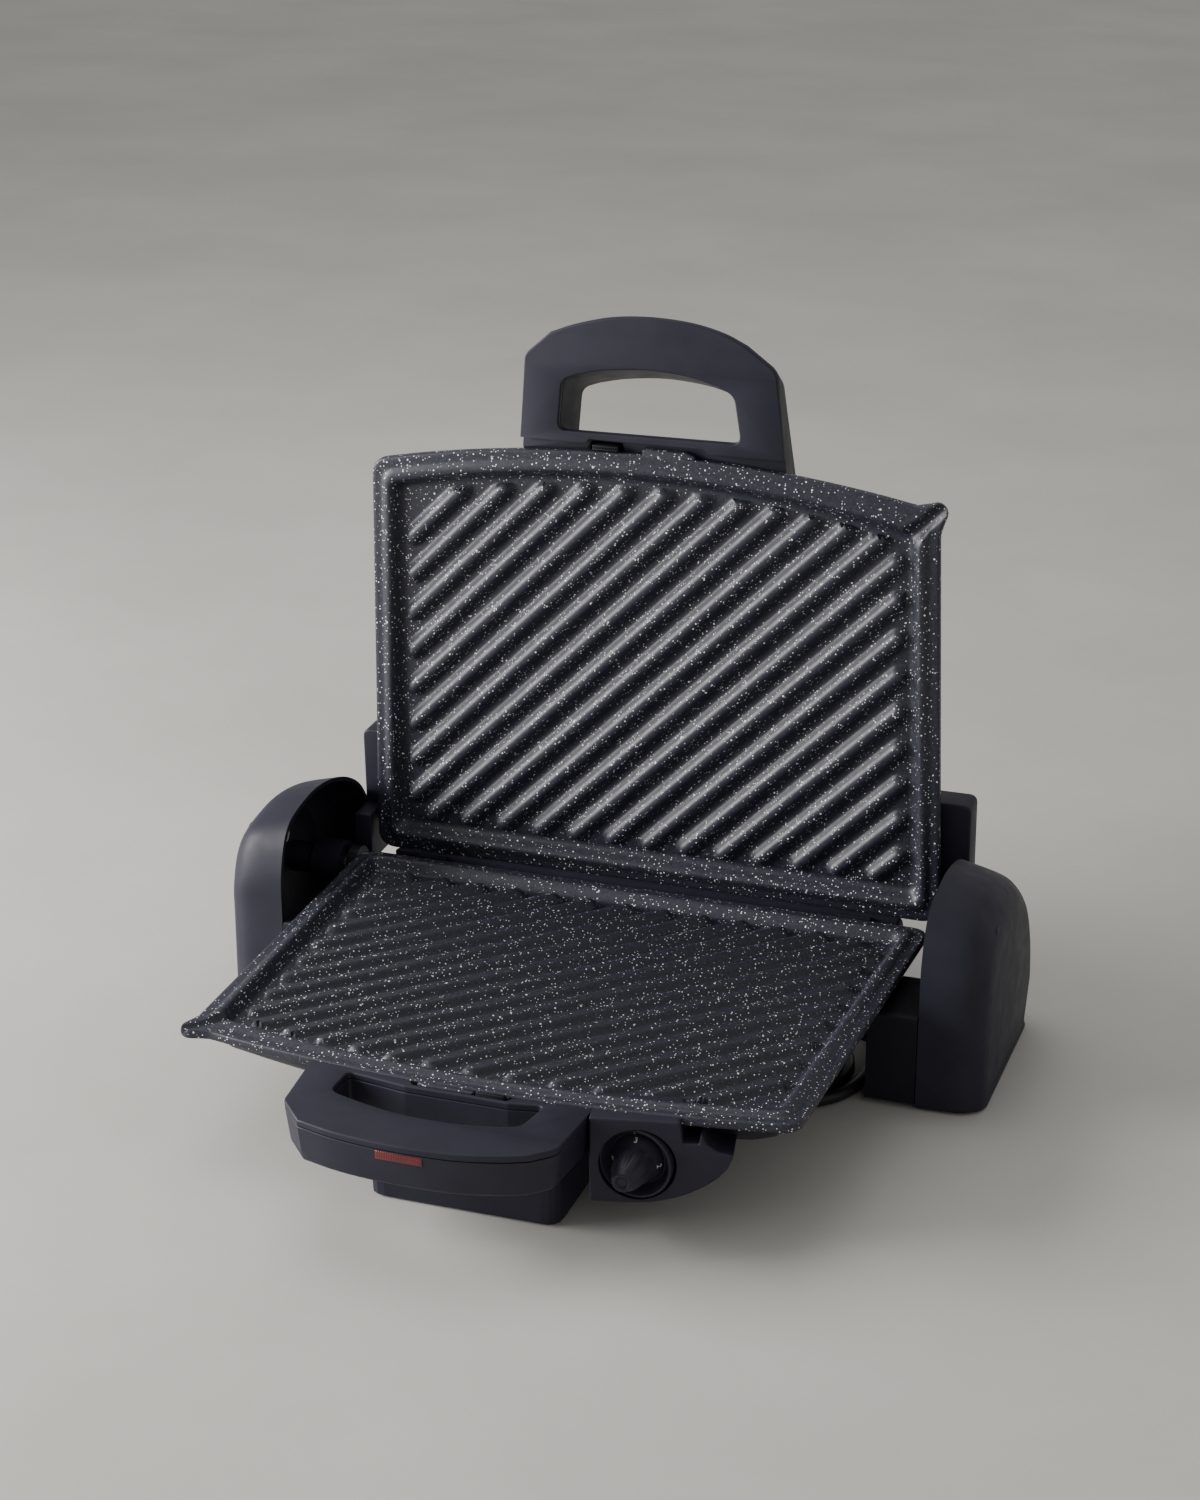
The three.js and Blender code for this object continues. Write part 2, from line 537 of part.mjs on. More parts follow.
// ---- the pieces that stand on the table ----
const footOutline = (inset) => rounded([
  [-55 + inset, -254 + inset, 9], [46 - inset, -254 + inset, 9], [46 - inset, -176 - inset, 6],
  [-55 + inset, -176 - inset, 6],
]);
const foot = cut(
  loft([[0, BASE_Z], [-1, 39.5]].map(([inset, z]) => footOutline(inset).map(([x, y]) => [x, y, z]))),
  slab(footOutline(3), 4, 45),
  enlargedBowl,
);
const footPads = [[-42, -240], [33, -240]];
add(object, 'front_foot', cut(foot, ...footPads.map((at) => rod('z', -1, 3, at, 6 + GAP))), PLASTIC);
footPads.forEach((at, i) => add(object, `front_pad_${i + 1}`, rod('z', 0, 3 - GAP, at, 6), RUBBER));

const fascia = cut(controlHousing(), knobRod(-268, -236, 18.6 + GAP, 28), enlargedBowl, toTable(underPlate()));
add(object, 'control_housing', fascia, PLASTIC);
const bezel = cut(
  knobRod(-252, -239.5, 18.6, 28), knobRod(-254, -243.6, 16.6, 28), knobRod(-248, -234, 3 + GAP, 16),
);
add(object, 'knob_bezel', bezel, PLASTIC_DARK);
add(object, 'thermostat_body', box([75, -237, 33.4], [97, -231, 52]), CERAMIC);
add(object, 'thermostat_spindle', knobRod(-257, -237.3, 3, 16), BRASS);
add(object, 'thermostat_knob', thermostatKnob(), PLASTIC_DARK);

const sides = [['left', mirrored], ['right', (solid) => solid]];
for (const [side, place] of sides) {
  add(object, `pod_shell_${side}`, place(podShell()), PLASTIC);
  const screwHole = rod('z', 25, 45, [130, -55], 2 + GAP, 10);
  const pinHole = rod('x', 165, 185, [AXIS_Y, AXIS_Z], PIN_R + GAP, 24);
  const padHole = rod('z', -1, 3, [167, -60], 6 + GAP);
  add(object, `pod_bracket_${side}`, place(cut(podBracket(), enlargedBowl, screwHole, pinHole, padHole)), PLASTIC_DARK);
  add(object, `pod_pad_${side}`, place(rod('z', 0, 3 - GAP, [167, -60], 6)), RUBBER);
  add(object, `hinge_pin_${side}`, place(rod('x', 170, 212, [AXIS_Y, AXIS_Z], PIN_R, 24)), STEEL);
  const bracketScrew = join(rod('z', 31, 46, [130, -55], 2, 10), rod('z', 29.8, 31.9, [130, -55], 4, 12));
  add(object, `bracket_screw_${side}`, place(bracketScrew), STEEL);
  add(object, `pod_screw_${side}`, place(join(
    rod('x', 196.2, 205, [-44, 92], 2.2, 10), rod('x', 193.9, 195.7, [-44, 92], 4, 12),
    rod('x', 195, 197, [-44, 92], 2.2, 10))), STEEL);
}

// ---- cord ----
add(object, 'cord_strain_relief', alongRelief(-24, 6.5, 4.8), RUBBER);
add(object, 'mains_cord', cordAlong(CORD_ROUTE, 36), RUBBER);
add(object, 'cord_coil', cordCoil(), RUBBER);
add(object, 'cord_tie', cordTie(), PLASTIC_DARK);
add(object, 'cord_tail', cordAlong(TAIL_ROUTE, 8), RUBBER);
add(object, 'mains_plug', mainsPlug(), RUBBER);

// ---- lid ----
add(upperHalf, 'upper_housing', cut(bowl(), ...screwHoles), PLASTIC);
SCREWS.forEach((at, i) => add(upperHalf, `upper_screw_${i + 1}`, screw(at), STEEL));
add(upperHalf, 'upper_reflector', reflector(), STEEL);
add(upperHalf, 'upper_heating_element', heatingElement(), STEEL);
add(upperHalf, 'upper_plate', cookingPlate(), COATING);
add(upperHalf, 'upper_latch', latch(upperLatchU), PLASTIC_DARK);
plateHooks(upperHalf, 'upper_plate');
const upperCover = cut(
  handlePiece(UPPER_HANDLE, UPPER_SLOT, HANDLE_SPLIT, HANDLE_TOP),
  underPlate(), tabNotch(), latchPocket(upperLatchU), bowlOutside(GAP),
);
add(upperHalf, 'upper_handle_cover', upperCover, PLASTIC);
const upperBody = cut(
  handlePiece(
    UPPER_HANDLE, UPPER_SLOT, LID_HANDLE_BACK, HANDLE_SPLIT - GAP, UPPER_HANDLE_BACK, UPPER_SLOT_BACK,
  ),
  bowlOutside(GAP), latchPocket(upperLatchU), underPlate(), tabNotch(),
);
add(upperHalf, 'upper_handle_body', upperBody, PLASTIC);
for (const [side, place] of sides) {
  add(upperHalf, `hinge_arm_${side}`, place(hingeArm()), PLASTIC);
}

export default object;
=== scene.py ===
import json
import math

import bmesh
import bpy
from mathutils import Matrix, Vector
from mathutils.geometry import delaunay_2d_cdt, tessellate_polygon


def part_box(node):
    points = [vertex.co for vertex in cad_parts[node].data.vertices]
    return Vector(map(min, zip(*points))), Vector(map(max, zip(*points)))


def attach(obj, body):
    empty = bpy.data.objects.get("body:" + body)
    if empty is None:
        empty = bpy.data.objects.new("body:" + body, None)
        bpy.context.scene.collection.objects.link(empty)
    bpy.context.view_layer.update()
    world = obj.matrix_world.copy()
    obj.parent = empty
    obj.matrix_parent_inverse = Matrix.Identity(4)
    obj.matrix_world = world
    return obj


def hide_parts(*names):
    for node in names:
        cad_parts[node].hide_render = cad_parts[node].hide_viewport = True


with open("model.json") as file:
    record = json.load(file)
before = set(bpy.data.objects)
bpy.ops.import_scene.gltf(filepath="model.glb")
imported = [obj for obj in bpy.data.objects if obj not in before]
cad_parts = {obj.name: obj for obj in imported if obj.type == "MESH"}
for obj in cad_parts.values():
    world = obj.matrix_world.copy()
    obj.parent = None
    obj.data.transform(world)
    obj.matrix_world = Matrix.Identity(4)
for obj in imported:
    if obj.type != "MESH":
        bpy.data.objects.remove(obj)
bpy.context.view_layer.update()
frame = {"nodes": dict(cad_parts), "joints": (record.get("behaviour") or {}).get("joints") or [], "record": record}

MM = 0.001
DIAGONAL = math.sqrt(0.5)  # the ribs and the spouts run at 45 degrees

# ---- where things are, from the frame ----
BEAD_TOP = -0.5
REAR_EDGE = 4.5  # the lower plate's rear edge in base coordinates
HINGE_BACK = 5.15  # from the hinge axis to the plates' rear edge
HINGE_DROP = 15.2  # from the hinge axis to the plates' rim
LID_TURN = math.radians(92.48)

plate_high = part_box("lower_plate")[1]
hinge_at = Vector(next(j["pos_m"] for j in frame["joints"] if j["name"] == "lid_hinge"))
BASE = Matrix.Translation((0, plate_high.y - REAR_EDGE * MM, 0)) @ Matrix.Scale(MM, 4)
RIM_Z = plate_high.z - BEAD_TOP * MM
LOWER = Matrix.Translation((0, plate_high.y, RIM_Z)) @ Matrix.Rotation(math.pi, 4, "Z") @ Matrix.Scale(MM, 4)
UPPER = (
    Matrix.Translation(hinge_at)
    @ Matrix.Rotation(LID_TURN, 4, "X")
    @ Matrix.Translation((0, HINGE_BACK * MM, -HINGE_DROP * MM))
    @ Matrix.Scale(MM, 4)
)

# ---- camera ----
camera = bpy.data.objects.new("camera", bpy.data.cameras.new("camera"))
bpy.context.scene.collection.objects.link(camera)
camera.location = (0.4768, -1.2949, 0.7370)
camera.rotation_euler = (math.radians(68.714), 0, math.radians(19.287))
camera.data.lens = 69.91
camera.data.sensor_width = 36
bpy.context.scene.camera = camera


# ---- mesh helpers ----
def piece(name, bm, place, material, body, replaced=(), sharp=32):
    """Turns a bmesh in drawing units into a finished piece that rides on a body."""
    bmesh.ops.remove_doubles(bm, verts=bm.verts, dist=1e-4)
    bmesh.ops.recalc_face_normals(bm, faces=bm.faces)
    mesh = bpy.data.meshes.new(name)
    bm.to_mesh(mesh)
    bm.free()
    mesh.transform(place)
    for polygon in mesh.polygons:
        polygon.use_smooth = True
    mesh.set_sharp_from_angle(angle=math.radians(sharp))
    made = bpy.data.objects.new(name, mesh)
    bpy.context.scene.collection.objects.link(made)
    made.data.materials.append(material)
    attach(made, body)
    if replaced:
        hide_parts(*replaced)
    return made


def rounded(corners, steps=8):
    """Rounds each corner of a polygon that has a radius."""
    points = []
    for i, corner in enumerate(corners):
        here = Vector(corner[:2])
        if len(corner) < 3:
            points.append(tuple(here))
            continue
        before = Vector(corners[i - 1][:2]) - here
        after = Vector(corners[(i + 1) % len(corners)][:2]) - here
        half = before.angle(after) / 2
        reach = min(corner[2] / math.tan(half), 0.45 * before.length, 0.45 * after.length)
        start = here + before.normalized() * reach
        end = here + after.normalized() * reach
        for k in range(steps + 1):
            t = k / steps
            points.append(tuple(start * (1 - t) ** 2 + here * 2 * t * (1 - t) + end * t * t))
    return points


def offset(ring, amount):
    """Moves a closed outline outwards, along its corner normals."""
    area = sum(a[0] * b[1] - b[0] * a[1] for a, b in zip(ring, ring[1:] + ring[:1]))
    turn = 1 if area > 0 else -1
    moved = []
    for i, point in enumerate(ring):
        here = Vector(point)
        before = (here - Vector(ring[i - 1])).normalized()
        after = (Vector(ring[(i + 1) % len(ring)]) - here).normalized()
        normal = Vector((before.y + after.y, -before.x - after.x)).normalized() * turn
        stretch = 1 / max(0.6, normal.dot(Vector((after.y, -after.x)) * turn))
        moved.append(tuple(here + normal * amount * stretch))
    return moved


def smooth_line(points, steps):
    """Points on a Catmull-Rom curve through the given ones."""
    points = [Vector(p) for p in points]
    padded = [2 * points[0] - points[1], *points, 2 * points[-1] - points[-2]]
    line = []
    for i in range(len(points) - 1):
        a, b, c, d = padded[i:i + 4]
        for k in range(steps):
            t = k / steps
            line.append(0.5 * (2 * b + (c - a) * t + (2 * a - 5 * b + 4 * c - d) * t**2
                               + (3 * b - a - 3 * c + d) * t**3))
    return [tuple(p) for p in [*line, points[-1]]]


def skin(bm, rings, closed=False):
    """Faces between rings of equally many points. Returns the rings of vertices."""
    made = [[bm.verts.new(p) for p in ring] for ring in rings]
    pairs = list(zip(made, made[1:])) + ([(made[-1], made[0])] if closed else [])
    for low, high in pairs:
        for i in range(len(low)):
            j = (i + 1) % len(low)
            bm.faces.new((low[i], low[j], high[j], high[i]))
    return made


def cap(bm, *rings):
    """Closes an outline, leaving the other rings as holes."""
    vertices = [vertex for ring in rings for vertex in ring]
    for corners in tessellate_polygon([[v.co for v in ring] for ring in rings]):
        if len(set(corners)) == 3:
            bm.faces.new([vertices[i] for i in corners])


def solid(bm, outer, hole=None):
    """A solid through the outer rings, with a hole through it along the hole's rings."""
    walls = [skin(bm, outer)] + ([skin(bm, hole)] if hole else [])
    for end in (0, -1):
        cap(bm, *[wall[end] for wall in walls])


def edge_levels(low, high, radius_low, radius_high, steps=4):
    """Heights of a wall with rounded ends, each with how far it is drawn in there."""
    angles = [math.pi / 2 * k / steps for k in range(steps + 1)]
    foot = [(low + radius_low * (1 - math.cos(a)), radius_low * (1 - math.sin(a))) for a in angles]
    head = [(high - radius_high * (1 - math.sin(a)), radius_high * (1 - math.cos(a))) for a in angles]
    return foot + head


def block(bm, low, high, radius=0.6):
    """A box with rounded edges."""
    cube = bmesh.ops.create_cube(bm, size=1)
    size = Vector(high) - Vector(low)
    middle = (Vector(high) + Vector(low)) / 2
    for vertex in cube["verts"]:
        vertex.co = Vector(vertex.co[k] * size[k] + middle[k] for k in range(3))
    edges = list({edge for vertex in cube["verts"] for edge in vertex.link_edges})
    bmesh.ops.bevel(bm, geom=edges, offset=radius, segments=3, profile=0.5, affect="EDGES")


def turned(bm, profile, place, sides=64, shape=lambda radius, height, angle: radius):
    """A turned solid: its profile is radius, height from one end on the axis to the other."""
    rings = []
    for radius, height in profile:
        ring = []
        for k in range(sides):
            angle = 2 * math.pi * k / sides
            reach = shape(radius, height, angle)
            ring.append(place @ Vector((reach * math.cos(angle), reach * math.sin(angle), height)))
        rings.append(ring)
    made = skin(bm, rings)
    for ring in (made[0], made[-1]):
        bm.faces.new(ring)


# ---- materials ----
class Nodes:
    """A material's node tree, with short ways to add to it."""

    def __init__(self, name):
        self.material = bpy.data.materials.new(name)
        self.material.use_nodes = True
        self.tree = self.material.node_tree
        self.shader = self.tree.nodes["Principled BSDF"]
        self.place = self.add("ShaderNodeTexCoord").outputs["Object"]

    def add(self, kind, **settings):
        node = self.tree.nodes.new(kind)
        for key, value in settings.items():
            setattr(node, key, value)
        return node

    def link(self, output, socket):
        self.tree.links.new(output, socket)

    def noise(self, scale, detail=2.0, roughness=0.5):
        node = self.add("ShaderNodeTexNoise")
        node.inputs["Scale"].default_value = scale
        node.inputs["Detail"].default_value = detail
        node.inputs["Roughness"].default_value = roughness
        self.link(self.place, node.inputs["Vector"])
        return node.outputs["Fac"]

    def spread(self, value, low, high, to_low=0.0, to_high=1.0):
        node = self.add("ShaderNodeMapRange")
        for key, number in (("From Min", low), ("From Max", high), ("To Min", to_low), ("To Max", to_high)):
            node.inputs[key].default_value = number
        self.link(value, node.inputs["Value"])
        return node.outputs["Result"]

    def math(self, operation, a, b):
        node = self.add("ShaderNodeMath", operation=operation)
        for socket, value in zip(node.inputs, (a, b)):
            if isinstance(value, (int, float)):
                socket.default_value = value
            else:
                self.link(value, socket)
        return node.outputs[0]

    def mix(self, share, first, second):
        node = self.add("ShaderNodeMix", data_type="RGBA")
        self.link(share, node.inputs["Factor"])
        for socket, value in ((node.inputs[6], first), (node.inputs[7], second)):
            if isinstance(value, tuple):
                socket.default_value = (*value, 1)
            else:
                self.link(value, socket)
        return node.outputs[2]

    def bump(self, height, strength, distance):
        node = self.add("ShaderNodeBump")
        node.inputs["Strength"].default_value = strength
        node.inputs["Distance"].default_value = distance
        self.link(height, node.inputs["Height"])
        self.link(node.outputs["Normal"], self.shader.inputs["Normal"])

    def set(self, **values):
        for key, value in values.items():
            self.shader.inputs[key.replace("_", " ")].default_value = value


def moulded_plastic(name, dark, light, roughness, grain=0.35):
    """Fine spark-eroded texture, with slow tone changes where it has been handled."""
    nodes = Nodes(name)
    tone = nodes.spread(nodes.noise(38, 4), 0.35, 0.65)
    nodes.link(nodes.mix(tone, dark, light), nodes.shader.inputs["Base Color"])
    nodes.link(nodes.spread(nodes.noise(90, 3), 0.3, 0.7, roughness - 0.05, roughness + 0.06),
               nodes.shader.inputs["Roughness"])
    nodes.bump(nodes.noise(2100, 2), grain, 0.00012)
    nodes.set(Specular_IOR_Level=0.3)
    return nodes.material


SPECK_LAYERS = ((270, 0.16, 0.3), (430, 0.2, 0.36), (760, 0.26, 0.42))  # scale, size, share of cells


def granite_coating():
    """Dark non-stick enamel, sprayed with pale specks of several sizes."""
    nodes = Nodes("granite_coating")
    specks = None
    for scale, size, share in SPECK_LAYERS:
        cells = nodes.add("ShaderNodeTexVoronoi", feature="F1")
        cells.inputs["Scale"].default_value = scale
        nodes.link(nodes.place, cells.inputs["Vector"])
        split = nodes.add("ShaderNodeSeparateColor")
        nodes.link(cells.outputs["Color"], split.inputs["Color"])
        reach = nodes.spread(split.outputs["Red"], 1 - share, 1 - 0.4 * share, 0.0, size)
        inside = nodes.math("SUBTRACT", reach, cells.outputs["Distance"])
        spot = nodes.spread(inside, 0.0, 0.03)
        specks = spot if specks is None else nodes.math("MAXIMUM", specks, spot)
    tone = nodes.spread(nodes.noise(700, 5, 0.7), 0.35, 0.68)
    ground = nodes.mix(tone, (0.010, 0.010, 0.018), (0.034, 0.035, 0.054))
    nodes.link(nodes.mix(specks, ground, (0.86, 0.87, 0.9)), nodes.shader.inputs["Base Color"])
    nodes.link(nodes.spread(nodes.noise(260, 4), 0.3, 0.7, 0.4, 0.5), nodes.shader.inputs["Roughness"])
    nodes.bump(nodes.noise(900, 3), 0.3, 0.00014)
    nodes.set(Specular_IOR_Level=0.45)
    return nodes.material


def brushed_metal(name, colour, roughness):
    nodes = Nodes(name)
    tone = nodes.spread(nodes.noise(420, 4), 0.3, 0.7)
    nodes.link(nodes.mix(tone, tuple(0.8 * c for c in colour), colour), nodes.shader.inputs["Base Color"])
    nodes.link(nodes.spread(nodes.noise(900, 2), 0.3, 0.7, roughness - 0.08, roughness + 0.08),
               nodes.shader.inputs["Roughness"])
    nodes.bump(nodes.noise(1500, 2), 0.15, 0.0001)
    nodes.set(Metallic=1.0)
    return nodes.material


def red_lens():
    nodes = Nodes("red_lens")
    tone = nodes.spread(nodes.noise(160, 2), 0.3, 0.7)
    colour = nodes.mix(tone, (0.085, 0.003, 0.005), (0.15, 0.005, 0.007))
    nodes.link(colour, nodes.shader.inputs["Base Color"])
    wave = nodes.add("ShaderNodeTexWave", bands_direction="X")
    wave.inputs["Scale"].default_value = 260
    nodes.link(nodes.place, wave.inputs["Vector"])
    nodes.bump(wave.outputs["Fac"], 0.3, 0.0003)
    nodes.set(Roughness=0.22, Coat_Weight=0.4, Coat_Roughness=0.08)
    return nodes.material


PLASTIC = moulded_plastic("matte_plastic", (0.0150, 0.0138, 0.0262), (0.0190, 0.0176, 0.0325), 0.52)
PLASTIC_DARK = moulded_plastic("dark_plastic", (0.0052, 0.0048, 0.0095), (0.0075, 0.0070, 0.0130), 0.55)
KNOB_PLASTIC = moulded_plastic("knob_plastic", (0.0190, 0.0180, 0.0300), (0.0260, 0.0250, 0.0390), 0.42, 0.2)
RUBBER = moulded_plastic("rubber_feet", (0.012, 0.012, 0.012), (0.02, 0.02, 0.02), 0.75)
JACKET = moulded_plastic("cord_jacket", (0.011, 0.011, 0.012), (0.016, 0.016, 0.018), 0.42, 0.15)
CERAMIC = moulded_plastic("ceramic", (0.62, 0.6, 0.55), (0.74, 0.72, 0.66), 0.4, 0.3)
PRINT = moulded_plastic("dial_print", (0.6, 0.6, 0.6), (0.72, 0.72, 0.72), 0.5, 0.1)
GRANITE = granite_coating()
STEEL = brushed_metal("bare_steel", (0.55, 0.55, 0.54), 0.34)
BRASS = brushed_metal("brass", (0.62, 0.45, 0.2), 0.32)
LENS = red_lens()
SLOT_MATERIALS = {
    "matte_plastic": PLASTIC, "dark_plastic": PLASTIC_DARK, "granite_coating": GRANITE, "red_lens": LENS,
    "ceramic": CERAMIC, "rubber_feet": RUBBER, "cord_jacket": JACKET, "bare_steel": STEEL, "brass": BRASS,
}
for row in frame["record"]["subparts"]:
    node = frame["nodes"][row["node"]]
    node.data.materials.clear()
    node.data.materials.append(SLOT_MATERIALS[row["material_slot"]])

# ---- cord ----
CORD_RADIUS = 3.5
CORD_ROUTE = [
    (48, -6.4, 30.8), (48, -1, 26.8), (49.5, 6, 21.8), (53.5, 13.5, 17), (61, 20.5, 12.5), (72, 26, 9),
    (86, 29, 6.5), (101, 28.5, 5), (115, 24, 4.6), (127, 16, 4.6), (137, 5, 4.6), (144, -9, 4.6),
    (148.3, -25, 4.6), (150.2, -42, 4.6), (149.8, -58, 4.6), (147, -72, 4.6), (142, -82.5, 4.6),
    (134.3, -90.8, 4.6),
]
COIL_AT = (96, -57)
COIL_OUTER = 43.5
COIL_INNER = 36.5
COIL_LOW = 4.6
COIL_HIGH = 11.6
TAIL_Y = COIL_AT[1] - COIL_OUTER
TAIL_ROUTE = [
    (69.3, TAIL_Y, 11.6), (62, TAIL_Y, 12.7), (54, TAIL_Y, 16.2), (47, TAIL_Y, 18.2), (41, TAIL_Y, 18.6),
]
COIL_END = -1170  # the lead's angle round the coil's middle where it leaves, in degrees
COIL_STEPS = 56


def blended(angle, stops):
    """A value that goes smoothly from stop to stop: each stop is (angle, value)."""
    for (a, x), (b, y) in zip(stops, stops[1:]):
        if angle >= b:
            t = (angle - a) / (b - a)
            return x + (y - x) * t * t * (3 - 2 * t)
    return stops[-1][1]


def coil_turns():
    """Turns near the table, wound inwards, and the last ones above them, wound outwards."""
    entry = math.degrees(math.atan2(CORD_ROUTE[-1][1] - COIL_AT[1], CORD_ROUTE[-1][0] - COIL_AT[0]))
    first = math.hypot(CORD_ROUTE[-1][0] - COIL_AT[0], CORD_ROUTE[-1][1] - COIL_AT[1])
    radii = [(entry, first), (-101, COIL_OUTER), (-401, COIL_OUTER), (-461, COIL_INNER),
             (-1061, COIL_INNER), (-1121, COIL_OUTER), (COIL_END, COIL_OUTER)]
    heights = [(entry, COIL_LOW), (-761, COIL_LOW), (-821, COIL_HIGH), (COIL_END, COIL_HIGH)]
    points = []
    for k in range(1, COIL_STEPS + 1):
        angle = entry + (COIL_END - entry) * k / COIL_STEPS
        radius = blended(angle, radii)
        at = math.radians(angle)
        points.append((COIL_AT[0] + radius * math.cos(at), COIL_AT[1] + radius * math.sin(at),
                       blended(angle, heights)))
    return points


def make_cord():
    route = [BASE @ Vector(p) for p in CORD_ROUTE + coil_turns() + [(80, TAIL_Y, 11.6)] + TAIL_ROUTE]
    curve = bpy.data.curves.new("mains_lead", "CURVE")
    curve.dimensions = "3D"
    curve.bevel_depth = CORD_RADIUS * MM
    curve.bevel_resolution = 4
    curve.resolution_u = 8
    curve.use_fill_caps = True
    line = curve.splines.new("BEZIER")
    line.bezier_points.add(len(route) - 1)
    for point, place in zip(line.bezier_points, route):
        point.co = place
        point.handle_left_type = "AUTO"
        point.handle_right_type = "AUTO"
    made = bpy.data.objects.new("mains_lead", curve)
    bpy.context.scene.collection.objects.link(made)
    curve.materials.append(JACKET)
    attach(made, "base")
    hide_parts("mains_cord", "cord_coil", "cord_tail")
    return made


def make_plug():
    """A straight earthed plug lying on its round body, with finger grooves and two pins."""
    start = BASE @ Vector(TAIL_ROUTE[-1])
    lying = Matrix.Translation(start) @ Matrix.Rotation(-math.pi / 2, 4, "Y") @ Matrix.Scale(MM, 4)
    profile = [(3.8, 0.3), (4.4, 0.5), (4.8, 4), (5.2, 4.3), (4.6, 6.2), (5.4, 8), (5.8, 8.3), (5.2, 10.2),
               (6.2, 12.5), (7.4, 17), (10.2, 21.5), (12.4, 25), (13.6, 30), (14.6, 34), (16.8, 35.6),
               (18.0, 37.2), (18.3, 39), (18.3, 50), (17.8, 52.3), (16.6, 53), (15.4, 52.8), (14.6, 52.4)]
    bm = bmesh.new()
    turned(bm, profile, lying, 48, lambda r, h, a: r - (0.5 if 22 < h < 34 and math.cos(12 * a) > 0.4 else 0))
    plug = piece("plug_body", bm, Matrix(), JACKET, "base", ["mains_plug"])
    pins = bmesh.new()
    for side in (-9.5, 9.5):
        pin = [(0.2, 71.8), (1.4, 71.5), (2.2, 70.2), (2.4, 68.5), (2.4, 50)]
        turned(pins, pin, lying @ Matrix.Translation((0, side, 0)), 24)
    return [plug, piece("plug_pins", pins, Matrix(), STEEL, "base", ())]


def make_relief():
    """The tapered rubber sleeve round the lead where it leaves the housing."""
    out = Vector(CORD_ROUTE[1]) - Vector(CORD_ROUTE[0])
    tilt = out.to_track_quat("Z", "Y").to_matrix().to_4x4()
    place = Matrix.Translation(CORD_ROUTE[0]) @ tilt
    profile = [(5.6, -23.8), (6.4, -23.2), (6.5, -17)]
    for k in range(5):
        top = -15 + 2.9 * k
        radius = 6.3 - 0.33 * k
        profile += [(radius, top), (radius, top + 1.5), (radius - 0.9, top + 1.8), (radius - 0.9, top + 2.6)]
    profile += [(4.7, -0.6), (4.3, -0.3)]
    bm = bmesh.new()
    turned(bm, profile, place, 40)
    return piece("lead_sleeve", bm, BASE, RUBBER, "base", ["cord_strain_relief"])


def make_tie():
    """A soft strap round the coil's left side."""
    half = 2 * CORD_RADIUS + 1.2
    middle = COIL_AT[0] - (COIL_OUTER + COIL_INNER) / 2
    low, high = 0.2, 16.1
    bm = bmesh.new()
    rings = []
    for shrink, y in ((0.25, -3.9), (0, -3.6), (0, 3.6), (0.25, 3.9)):
        left, right = middle - half + shrink, middle + half - shrink
        corners = [(left, low + shrink, 2.5), (right, low + shrink, 2.5), (right, high - shrink, 3),
                   (left, high - shrink, 3)]
        rings.append([(x, COIL_AT[1] + y, z) for x, z in rounded(corners, 6)])
    inner = [[(x, ring[0][1], z) for x, z in offset([(p[0], p[2]) for p in ring], -0.7)] for ring in rings]
    skin(bm, [*rings, *inner[::-1]], closed=True)
    return piece("lead_strap", bm, BASE, PLASTIC_DARK, "base", ["cord_tie"])


lead = make_cord()
on_lead = [*make_plug(), make_relief(), make_tie()]

# ---- the outline that plates and housings share ----
REAR_HALF = 168.8
FRONT_HALF = 161.2
DEPTH = 239
BOW = 17
CORNER = 11
SKIRT = -7.3
LIP = -2.4
FLOOR = -7.0
UNDER = -10.5


def front_edge(u):
    return DEPTH + BOW * (1 - (u / FRONT_HALF) ** 2)


def press_outline(inset, steps=12, bow_steps=48):
    """The plate's outline, drawn in: straight sides and rear edge, and a bowed front edge."""
    rear = REAR_HALF - inset
    front = FRONT_HALF - inset
    corner = max(CORNER - 0.35 * inset, 5)
    corners = [(-rear, inset, corner), (rear, inset, corner), (front, DEPTH - inset, corner)]
    for k in range(1, bow_steps):
        s = 1 - 2 * k / bow_steps
        if abs(s) * front < front - 2 * corner:
            corners.append((front * s, DEPTH - inset + BOW * (1 - s * s)))
    corners.append((-front, DEPTH - inset, corner))
    return spaced(rounded(corners, steps))


def spaced(ring, gap=4.0):
    """Adds points on long straight stretches."""
    points = []
    for a, b in zip(ring, ring[1:] + ring[:1]):
        count = max(1, round(math.dist(a, b) / gap))
        points += [tuple(Vector(a).lerp(Vector(b), k / count)) for k in range(count)]
    return points


def press_rings(section):
    """Rings at each (inset, height), with their points on the same rays from the plate's middle."""
    base = press_outline(0)
    angles = [angle_at(u, v) for u, v in base]
    rings = []
    for inset, w in section:
        ring = base if inset <= 0.01 else on_rays(press_outline(inset), angles)
        rings.append([(u, v, w) for u, v in ring])
    return rings


def angle_at(u, v):
    return math.atan2(v - DEPTH / 2, u)


